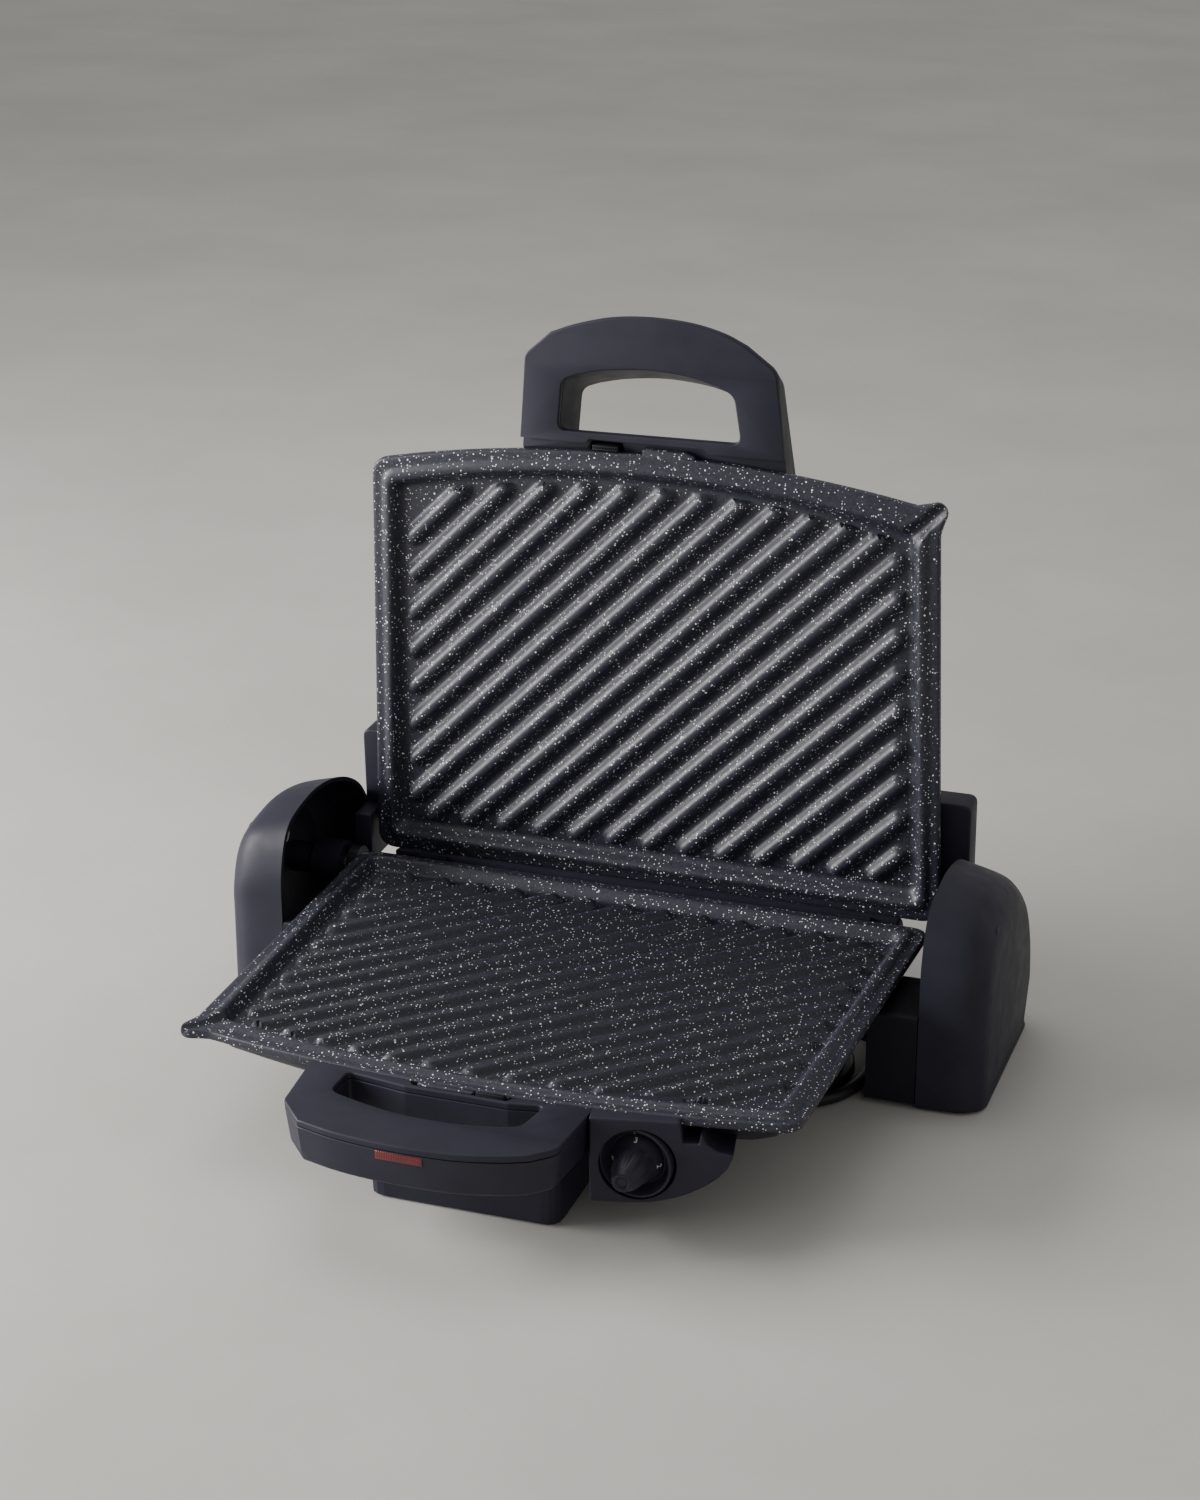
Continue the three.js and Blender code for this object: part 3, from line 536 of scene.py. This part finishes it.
def on_rays(ring, angles):
    """Where rays from the plate's middle at these angles meet the outline."""
    centre = Vector((0, DEPTH / 2))
    polar = [(angle_at(u, v), u, v) for u, v in ring]
    start = min(range(len(polar)), key=lambda i: polar[i][0])
    polar = polar[start:] + polar[:start]
    before = (polar[-1][0] - math.tau, *polar[-1][1:])
    after = (polar[0][0] + math.tau, *polar[0][1:])
    polar = [before, *polar, after]
    found = []
    for angle in angles:
        low, high = 0, len(polar) - 1
        while high - low > 1:
            middle = (low + high) // 2
            if polar[middle][0] <= angle:
                low = middle
            else:
                high = middle
        a, b = Vector(polar[low][1:]), Vector(polar[high][1:])
        ray = Vector((math.cos(angle), math.sin(angle)))
        side = b - a
        down = ray.x * side.y - ray.y * side.x
        share = ((a - centre).x * side.y - (a - centre).y * side.x) / down
        found.append(tuple(centre + ray * share))
    return found


# ---- cooking plates ----
RIB_PITCH = 15.6
RIB_MARGIN = 23
RIB_HALF = 5.9
RIB_HEIGHT = 4.4
RIB_REACH = REAR_HALF + DEPTH
SPOUT = (FRONT_HALF - 5, DEPTH - 4)
SPOUT_DRAWN = 6.6
CHANNEL_HALF = 5.5
FLOOR_MARGIN = 20.4


def inside_ribs(u, v):
    side = REAR_HALF - (REAR_HALF - FRONT_HALF) * v / DEPTH
    return abs(u) < side - RIB_MARGIN and RIB_MARGIN < v < front_edge(u) - RIB_MARGIN


def rib_spans():
    """The stretch that each rib covers along its slant, by the rib's number across it."""
    spans = {}
    number = 0
    while number * RIB_PITCH < 2 * RIB_REACH:
        across = number * RIB_PITCH - RIB_REACH
        inside = [along for along in range(-420, 421)
                  if inside_ribs((along + across) * DIAGONAL, (along - across) * DIAGONAL)]
        if len(inside) > 12:
            spans[number] = (inside[0], inside[-1])
        number += 1
    return spans


RIBS = rib_spans()


def rib_height(u, v):
    """How far the floor rises at a point: a rounded ridge with soft feet and round ends."""
    along = (u + v) * DIAGONAL
    across = (u - v) * DIAGONAL + RIB_REACH
    number = round(across / RIB_PITCH)
    if number not in RIBS:
        return 0.0
    start, end = RIBS[number]
    beyond = max(start - along, along - end, 0)
    distance = math.hypot(across - number * RIB_PITCH, beyond) / RIB_HALF
    if distance >= 1:
        return 0.0
    return RIB_HEIGHT * (1 - distance**2.6) ** 1.5


def formed_spout(u, v, w, top):
    """Draws the corner out into a pouring lip and presses a channel into its top."""
    along = (u - SPOUT[0] + v - SPOUT[1]) * DIAGONAL
    across = (v - SPOUT[1] - u + SPOUT[0]) * DIAGONAL
    if along < -30 or abs(across) > 24:
        return u, v, w
    drawn = SPOUT_DRAWN * math.exp(-((across / 7.2) ** 4)) * min(1, max(0, (along + 9) / 9))
    if top and abs(across) < CHANNEL_HALF and w > -6:
        w = min(w, -5.4 + 5.2 * (across / CHANNEL_HALF) ** 2)
    return u + drawn * DIAGONAL, v + drawn * DIAGONAL, w


def cooking_plate():
    """A plate: the underside, the skirt and the bead as rings, the ribbed floor and the latch tab."""
    bead = smooth_line([(4.4, -2.4), (5.8, -2.1), (7.2, -1.15), (9.2, -0.5), (11.0, -0.85), (12.6, -2.4),
                        (14.2, -4.9), (15.8, -6.4), (17.6, -6.95), (19.0, -7.0)], 2)
    section = [(17, UNDER), (14.5, SKIRT), (9, SKIRT), (1.3, SKIRT), (0.4, SKIRT + 0.25), (0, SKIRT + 0.9),
               (0, LIP - 1.0), (0.25, LIP - 0.35), (0.9, LIP), (2.6, LIP), *bead]
    rings = press_rings(section)
    shaped = [[formed_spout(u, v, w, row > 5) for u, v, w in ring] for row, ring in enumerate(rings)]
    bm = bmesh.new()
    made = skin(bm, shaped)
    cap(bm, made[0])
    floor(bm, made[-1])
    tab = rounded([(*p, 1.2) for p in ((-2.5, 251), (27, 251), (27, 257.4), (22, 259), (-2.5, 259))], 4)
    levels = edge_levels(SKIRT + 0.2, LIP - 0.15, 0.5, 0.7, 3)
    solid(bm, [[(u, v, w) for u, v in offset(tab, -inset)] for w, inset in levels])
    return bm


def floor(bm, edge):
    """The cooking face inside the bead: points on lines along the ribs, joined to the edge."""
    points = [vertex.co.to_2d() for vertex in edge]
    count = len(points)
    step_across = RIB_PITCH / 12
    step_along = 2.0
    for i in range(int(2 * RIB_REACH / step_across)):
        across = i * step_across - RIB_REACH
        for j in range(-210, 211):
            u = (j * step_along + across) * DIAGONAL
            v = (j * step_along - across) * DIAGONAL
            if clear_of_edge(u, v, FLOOR_MARGIN):
                points.append(Vector((u, v)))
    border = [(i, (i + 1) % count) for i in range(count)]
    flat = delaunay_2d_cdt(points, border, [], 1, 1e-5)
    vertices = []
    for place, origins in zip(flat[0], flat[3]):
        given = [i for i in origins if i < count]
        vertices.append(edge[given[0]] if given else bm.verts.new((*place, FLOOR + rib_height(*place))))
    for corners in flat[2]:
        bm.faces.new([vertices[i] for i in corners])


def clear_of_edge(u, v, margin):
    """Whether a point is inside the outline by the margin, with its corners rounded."""
    side = REAR_HALF - (REAR_HALF - FRONT_HALF) * v / DEPTH
    if not (abs(u) < side - margin and margin < v < front_edge(u) - margin):
        return False
    corner_u, corner_v = side - margin - abs(u), min(v - margin, DEPTH - margin - v)
    in_corner = corner_u < 6 and 0 < corner_v < 6
    return not (in_corner and math.hypot(6 - corner_u, 6 - corner_v) > 6)


plate_shape = cooking_plate()
for half, shape, place in (("lower", plate_shape.copy(), LOWER), ("upper", plate_shape, UPPER)):
    node = f"{half}_plate"
    piece(f"{half}_cooking_plate", shape, place, GRANITE, node, [node], 50)

# ---- housings ----
BOWL = [
    (32, -30), (30, -29.9), (27.6, -29.2), (25, -27.2), (20, -23), (15, -19), (12, -15.6), (9.4, -12),
    (8, -10), (6.8, -8.4), (6.5, SKIRT - 0.3),
]
WALL = 2.4


def bowl_inset(w):
    """How far the bowl's wall is drawn in from the plate's outline at a height."""
    for (a, low), (b, high) in zip(BOWL, BOWL[1:]):
        if low <= w <= high:
            return a + (b - a) * (w - low) / (high - low)
    return BOWL[0][0] if w < BOWL[0][1] else BOWL[-1][0]


def housing():
    """The bowl as a thin shell, open towards the plate."""
    inner = [(inset + WALL, max(w, BOWL[0][1] + WALL)) for inset, w in BOWL[::-1]]
    bm = bmesh.new()
    made = skin(bm, press_rings([*BOWL, *inner]))
    cap(bm, made[0])
    cap(bm, made[-1])
    return bm


LEDGE_HALF = 150
LEDGE_RADIUS = 13.3


def rear_ledge(bm):
    """The round ledge between the two hinge edges, in the lower half's plate coordinates."""
    arc = [math.radians(96 - 4 * k) for k in range(49)]
    section = [(9, -22), (9, -13.2), (-8.2 + REAR_EDGE, -13.2)]
    section += [
        (-HINGE_BACK - LEDGE_RADIUS * math.cos(a), -HINGE_DROP + LEDGE_RADIUS * math.sin(a)) for a in arc
    ]
    rings = [[(u, v, w) for v, w in offset(section, -inset)]
             for u, inset in edge_levels(-LEDGE_HALF, LEDGE_HALF, 1.2, 1.2, 3)]
    made = skin(bm, rings)
    cap(bm, made[0])
    cap(bm, made[-1])


bowl_shape = housing()
lower_shape = bowl_shape.copy()
rear_ledge(lower_shape)
piece("lower_casing", lower_shape, LOWER, PLASTIC, "base", ["lower_housing"])
piece("upper_casing", bowl_shape, UPPER, PLASTIC, "lid", ["upper_housing"])

# ---- handles ----
HANDLE_TOP = -3
HANDLE_SPLIT = -6.5
HANDLE_BOTTOM = -26.5
LID_HANDLE_BACK = -38.5
PLATE_GAP = 0.7
SEAM = 0.15
REAR_STEPS = 60
LATCH_POCKET_LOW = -21
LATCH_POCKET_HALF = 9.6
LATCH_POCKET_V = 260.3
TAB_NOTCH_V = 259.6
LATCH_U = {"lower": -11.5, "upper": -23.5}
LOWER_ARC = smooth_line([
    (67.2, 310.8), (46, 316.2), (21.2, 318.9), (-2, 319), (-20, 317), (-38, 312), (-49.8, 306.8),
], 5)
LOWER_LOOP = [(82.2, 293.8, 9), *LOWER_ARC, (-60.3, 296.4, 12)]
LOWER_SLOT_ARC = smooth_line([(54, 281.4), (34, 286.8), (13.2, 289.4), (-8, 288.6), (-26, 285)], 5)
LOWER_SLOT = [
    (64.2, 257, 3), (64.2, 277.8, 9), *LOWER_SLOT_ARC,
    (-35.8, 281.5, 9), (-39.8, 258.5, 3), (-22, 262, 6), (32, 262, 6),
]
UPPER_ARC = smooth_line([
    (-54.5, 319.3), (-40, 324.8), (-20, 329.8), (2, 331.4), (24, 330), (42, 325.8), (55, 320),
], 5)
UPPER_LOOP = [(-69, 306.5, 8), *UPPER_ARC, (71.8, 307.5, 10)]
UPPER_BACK_ARC = smooth_line([
    (-50, 304), (-37, 309), (-18, 313.6), (2, 315.4), (24, 314), (40, 311), (51, 306),
], 5)
UPPER_BACK = [(-63, 291.5, 8), *UPPER_BACK_ARC, (66, 292, 10)]
UPPER_SLOT_ARC = smooth_line([(-38, 297.6), (-22, 301), (1, 302.9), (24, 301), (39, 297.2)], 5)
UPPER_SLOT = [(-51, 265.5, 5), (-48, 294, 9), *UPPER_SLOT_ARC, (48.5, 293, 9), (52.5, 266.5, 5)]
UPPER_SLOT_BACK = [(u, v - 15, *r) for u, v, *r in UPPER_SLOT]


def loop_outline(loop, left, right, w, notch, low_edge):
    """A handle's outline at a height: the loop, closed along the plate's edge or the bowl.

    The notch for the plate's tab and the latch is (left, right, how far out it goes, latch's middle).
    """
    notch_left, notch_right, notch_v, latch_u = notch
    tucked = w < SKIRT - 0.3
    first, last = (left, right) if loop[0][0] < 0 else (right, left)
    rear = []
    for k in range(REAR_STEPS + 1):
        u = last + (first - last) * k / REAR_STEPS
        if w > LATCH_POCKET_LOW and abs(u - latch_u) < LATCH_POCKET_HALF:
            v = max(notch_v, LATCH_POCKET_V)
        elif tucked:
            v = front_edge(u) - bowl_inset(w) + 0.4
        elif notch_left < u < notch_right:
            v = max(front_edge(u) + PLATE_GAP, notch_v)
        else:
            v = max(front_edge(u) + PLATE_GAP, low_edge)
        rear.append((u, v))
    return rounded([*loop, *rear], 10)


def handle(bm, loops, slots, sides, levels, notch, draft, low_edge):
    """A handle's solid: its outline goes from the first loop at the top to the second below."""
    low, high = levels[0][0], levels[-1][0]
    outer = []
    inner = []
    for w, inset in levels:
        share = (high - w) / (high - low)
        loop, slot = (
            [(a[0] + (b[0] - a[0]) * share, a[1] + (b[1] - a[1]) * share, *a[2:]) for a, b in zip(*both)]
            for both in (loops, slots)
        )
        outline = loop_outline(loop, *sides, w, notch, low_edge)
        ring = offset(outline, -(inset + draft * share))
        ring[-REAR_STEPS - 1:] = outline[-REAR_STEPS - 1:]
        outer.append([(u, v, w) for u, v in ring])
        inner.append([(u, v, w) for u, v in offset(rounded(slot, 10), inset - draft * share / 2)])
    solid(bm, outer, inner)


def handle_pair(name, loops, slots, sides, bottom, place, body, notches, draft, low_edge):
    """The cover and the body below its seam. The cover's edge along the plate can stand higher."""
    cover = bmesh.new()
    levels = edge_levels(HANDLE_SPLIT + SEAM, HANDLE_TOP, 0.4, 0.9)
    handle(cover, loops[:1] * 2, slots[:1] * 2, sides, levels, notches[0], 0, low_edge)
    piece(f"{name}_grip_cover", cover, place, PLASTIC, body, [f"{name}_handle_cover"])
    lower = bmesh.new()
    levels = edge_levels(bottom, HANDLE_SPLIT - 2 * SEAM, 2.6, 0.6)
    middle = [(w, 0) for w in (-24, -20, -16, -12, -9, -7.65, -7.55) if levels[4][0] < w < levels[5][0]]
    handle(lower, loops, slots, sides, [*levels[:5], *middle, *levels[5:]], notches[1], draft, 0)
    piece(f"{name}_grip", lower, place, PLASTIC, body, [f"{name}_handle_body"])


lower_notch = (-21, 30, TAB_NOTCH_V, LATCH_U["lower"])
upper_notches = [(-35, 34, 262.2, LATCH_U["upper"]), (-35, 30, TAB_NOTCH_V, LATCH_U["upper"])]
handle_pair(
    "lower", [LOWER_LOOP] * 2, [LOWER_SLOT] * 2, (-62.8, 86.4), HANDLE_BOTTOM, LOWER, "base",
    [lower_notch] * 2, 2.5, 0,
)
handle_pair(
    "upper", [UPPER_LOOP, UPPER_BACK], [UPPER_SLOT, UPPER_SLOT_BACK], (-72.6, 76.5), LID_HANDLE_BACK,
    UPPER, "lid", upper_notches, 0, 259.8,
)

# ---- indicator window ----
window = bmesh.new()
block(window, (-0.6, 312, -11.7), (23.4, 319.25, -7.1), 0.5)
piece("indicator_window", window, LOWER, LENS, "base", ["indicator_lens"])


# ---- latches ----
def latch(half, place):
    """The spring clip in front of a plate's edge, with two ridges to press on."""
    u = LATCH_U[half]
    bm = bmesh.new()
    block(bm, (u - 6, 256.4, -14), (u + 6, 259, -4), 0.4)
    block(bm, (u - 7.5, 256.3, -4.6), (u + 7.5, 259.4, -2.6), 0.5)
    for v in (256.5, 258.2):
        block(bm, (u - 7.4, v, -3.4), (u + 7.4, v + 1.1, -1.7), 0.45)
    node = f"{half}_latch"
    piece(f"{node}_clip", bm, place, PLASTIC_DARK, node, [node])


latch("lower", LOWER)
latch("upper", UPPER)

# ---- hinge pods ----
POD_CURVE = [
    (-77.5, 60), (-76.6, 84), (-66, 107), (-40, 115), (-16, 115.2), (10, 109), (32, 97), (45, 81), (53, 62),
    (57, 38),
]
POD_FOOT = rounded([(56, 1, 3), (-78, 1, 3), POD_CURVE[0]], 6)[:-1]
POD_OUTLINE = spaced([*POD_FOOT, *smooth_line(POD_CURVE, 6)], 8)
POD_MIDDLE = -9
POD_BASE = 1
POD_WALL = 2.6
POD_OUT = 218
SEAM_X = 182.5
POD_PROFILE = [(POD_OUT, 0.8, 0.76), (216, 0.88, 0.83), (211, 0.945, 0.9), (203, 0.985, 0.95), (SEAM_X, 1, 1)]
PIN_BOSS = (9.65, 54.8, 9, 203)
SCREW_BOSS = (-44, 92, 5, 196)


def pod_ring(x, along_y, along_z, wall):
    """The cover's outline at x, scaled about its foot's middle and drawn in by the wall."""
    return [(x, POD_MIDDLE + (y - POD_MIDDLE) * (along_y - wall / 62),
             POD_BASE + (z - POD_BASE) * (along_z - 2 * wall / 114) + wall)
            for y, z in POD_OUTLINE]


def pod(side, mirror):
    """A rounded cover over a hinge, open towards the plates, with its two bosses."""
    profile = smooth_line(POD_PROFILE, 5)
    outer = [pod_ring(min(x, POD_OUT), y, z, 0) for x, y, z in profile]
    inner = [pod_ring(min(x, POD_OUT - POD_WALL), y, z, POD_WALL) for x, y, z in profile[::-1]]
    bm = bmesh.new()
    made = skin(bm, [*outer, *inner])
    cap(bm, made[0])
    cap(bm, made[-1])
    for y, z, radius, start in (PIN_BOSS, SCREW_BOSS):
        along_x = Matrix.Translation((0, y, z)) @ Matrix.Rotation(math.pi / 2, 4, "Y")
        turned(bm, [(radius - 0.6, start), (radius, start + 0.6), (radius, 215.8)], along_x, 32)
    piece(f"hinge_cover_{side}", bm, BASE @ mirror, PLASTIC, "base", [f"pod_shell_{side}"])


# ---- lid arms ----
def arm(side, mirror):
    """The pad behind the upper housing, its neck, and the hub on the hinge axis."""
    bm = bmesh.new()
    outline = rounded([(140, 10, 3), (181.5, 10, 3), (181.5, 67.5, 5), (140, 67.5, 3)], 6)
    levels = edge_levels(-36, -16, 4.5, 1.2, 5)
    solid(bm, [[(u, v, w) for u, v in offset(outline, -inset)] for w, inset in levels])
    block(bm, (171, -9, -34), (181.5, 21, 2), 0.8)
    along_u = Matrix.Translation((0, -HINGE_BACK, HINGE_DROP)) @ Matrix.Rotation(math.pi / 2, 4, "Y")
    turned(bm, [(5.4, 199.6), (12.2, 200), (13, 199.2), (13, 181.4), (5.4, 181.2)], along_u, 48)
    piece(f"lid_arm_{side}", bm, UPPER @ mirror, PLASTIC, "lid", [f"hinge_arm_{side}"])


for side_name, flip in (("left", Matrix.Scale(-1, 4, (1, 0, 0))), ("right", Matrix())):
    pod(side_name, flip)
    arm(side_name, flip)

# ---- front controls ----
KNOB = (85.2, -246, 43)
PANEL = Matrix.Translation((63.8, -258.4, 0)) @ Matrix.Rotation(math.radians(12), 4, "Z")
KNOB_FACING = BASE @ Matrix.Translation(KNOB) @ Matrix.Rotation(math.pi / 2, 4, "X")
FASCIA_CURVE = smooth_line([(67, 43.5), (61, 36.8), (52, 30.6), (42, 26), (30, 22.8), (16, 21.5)], 4)
FASCIA = [
    (0, 21.5, 2), (0, 67, 1), (44, 67, 2), (45.5, 56, 1), (53, 56, 1), (54, 62, 1), (56.5, 56.5, 6),
    (62, 52.4, 8), (70, 51, 1), *FASCIA_CURVE,
]
BEZEL_RADIUS = 18.6
BEZEL_SIDES = 64


def control_housing():
    """The lobe beside the handle, drawn as seen from the front, with a round hole for the bezel."""
    outline = spaced(rounded(FASCIA, 8), 5)
    at = PANEL.inverted() @ Vector(KNOB)
    radius = BEZEL_RADIUS + 0.2
    angles = [math.tau * k / BEZEL_SIDES for k in range(BEZEL_SIDES)]
    circle = [(at.x + radius * math.cos(a), KNOB[2] + radius * math.sin(a)) for a in angles]
    outer = []
    hole = []
    for depth, inset in edge_levels(-26, 0, 0.2, 1.1, 5):
        outer.append([(x, -depth, z) for x, z in offset(outline, -inset)])
        hole.append([(x, -depth, z) for x, z in offset(circle, 0.25 * inset)])
    bm = bmesh.new()
    solid(bm, outer, hole)
    piece("control_lobe", bm, BASE @ PANEL, PLASTIC, "base", ["control_housing"])


def bezel():
    """A dished ring behind the knob, with a small pointer mark."""
    profile = [(0.2, -5), (18.4, -5), (BEZEL_RADIUS, -4.6), (BEZEL_RADIUS, 6.0), (18.35, 6.7), (17.8, 7.0),
               (17.2, 6.8), (16.6, 6.0), (15.4, 3.2), (14.6, 1.4), (14.0, 0.6), (0.2, 0.2)]
    bm = bmesh.new()
    turned(bm, profile, Matrix(), 96)
    block(bm, (-0.5, 16.2, 4.6), (0.5, 18.2, 7.4), 0.2)
    piece("dial_ring", bm, KNOB_FACING, KNOB_PLASTIC, "base", ["knob_bezel"])


KNOB_PROFILE = [
    (0.2, 0.9), (12.7, 0.9), (13.2, 1.2), (13.3, 1.8), (13.0, 2.6), (11.6, 4.9), (10.3, 7.2), (9.9, 8.8),
    (9.6, 11.6), (9.0, 15.6), (7.9, 19.6), (6.5, 22.8), (5.5, 24.8), (5.1, 25.8), (4.8, 26.5), (4.2, 26.9),
    (3.4, 26.8), (2.7, 26.2), (2.2, 25.6), (0.2, 25.4),
]
FLUTE_COUNT = 8
FLUTES = (8, 24)
NUMERALS = (("0", -90), ("3", 0), ("2", 90), ("1", 180))
NUMERAL_SIZE = 4.2
NUMERAL_AT = Matrix.Translation((0, 11.75, 5.0)) @ Matrix.Rotation(math.radians(-60), 4, "X")


def fluted(radius, height, angle):
    """Broad grip flutes along the knob's bell."""
    start, end = FLUTES
    if height < start or height > end:
        return radius
    share = math.sin(math.pi * (height - start) / (end - start)) ** 0.6
    return radius * (1 - 0.1 * share * max(0, math.cos(FLUTE_COUNT * angle)) ** 0.8)


def knob():
    """The fluted knob, with its numbers round the base."""
    bm = bmesh.new()
    turned(bm, smooth_line(KNOB_PROFILE, 2), Matrix(), 108, fluted)
    piece("dial_knob", bm, KNOB_FACING, KNOB_PLASTIC, "knob", ["thermostat_knob"], 45)
    for number, turn in NUMERALS:
        text = bpy.data.curves.new(f"dial_{number}", "FONT")
        text.body = number
        text.size = NUMERAL_SIZE
        text.align_x = "CENTER"
        text.align_y = "CENTER"
        text.extrude = 0.06
        shown = bpy.data.objects.new(f"dial_number_{number}", text)
        bpy.context.scene.collection.objects.link(shown)
        text.materials.append(PRINT)
        shown.matrix_world = KNOB_FACING @ Matrix.Rotation(math.radians(-turn), 4, "Z") @ NUMERAL_AT
        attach(shown, "knob")


control_housing()
bezel()
knob()


# ---- nodes taken over from the frame: softened edges ----
def soften(name, width):
    node = frame["nodes"][name]
    weld = node.modifiers.new("weld", "WELD")
    weld.merge_threshold = 1e-6
    bevel = node.modifiers.new("bevel", "BEVEL")
    bevel.width = width * MM
    bevel.segments = 3
    bevel.limit_method = "ANGLE"
    bevel.angle_limit = math.radians(40)
    bevel.harden_normals = True


for name, width in (
    ("front_foot", 1.4), ("pod_bracket_left", 1.0), ("pod_bracket_right", 1.0),
    ("lower_plate_hook_left", 0.5), ("lower_plate_hook_right", 0.5), ("upper_plate_hook_left", 0.5),
    ("upper_plate_hook_right", 0.5), ("terminal_block", 0.6), ("thermostat_body", 0.6),
):
    soften(name, width)


# ---- studio ----
def floor_material():
    nodes = Nodes("studio_floor")
    tone = nodes.spread(nodes.noise(3, 5, 0.6), 0.35, 0.65)
    nodes.link(nodes.mix(tone, (0.50, 0.49, 0.46), (0.56, 0.55, 0.52)), nodes.shader.inputs["Base Color"])
    nodes.set(Roughness=0.7)
    return nodes.material


ground = bpy.data.meshes.new("studio_floor")
ground.from_pydata([(-9, -9, 0), (9, -9, 0), (9, 9, 0), (-9, 9, 0)], [], [(0, 1, 2, 3)])
ground.materials.append(floor_material())
studio_floor = bpy.data.objects.new("studio_floor", ground)
bpy.context.scene.collection.objects.link(studio_floor)


def soft_light(name, place, aim, size, power, colour):
    lamp = bpy.data.lights.new(name, "AREA")
    lamp.shape = "RECTANGLE"
    lamp.size, lamp.size_y = size
    lamp.energy = power
    lamp.color = colour
    made = bpy.data.objects.new(name, lamp)
    bpy.context.scene.collection.objects.link(made)
    made.location = place
    made.rotation_euler = (Vector(aim) - Vector(place)).to_track_quat("-Z", "Y").to_euler()


soft_light("key", (-1.6, -0.55, 0.66), (0, 0.05, 0.18), (1.1, 0.9), 66, (1, 0.99, 0.97))
soft_light("top", (-0.5, 0.6, 2.3), (0, 0, 0.1), (1.4, 1.4), 10, (1, 0.99, 0.98))
soft_light("fill", (1.6, -1.8, 1.2), (0, 0, 0.15), (1.4, 1.2), 2, (0.96, 0.98, 1))
world = bpy.data.worlds.new("studio")
world.use_nodes = True
world.node_tree.nodes["Background"].inputs["Color"].default_value = (0.82, 0.82, 0.8, 1)
world.node_tree.nodes["Background"].inputs["Strength"].default_value = 0.55
bpy.context.scene.world = world

bpy.context.view_layer.update()
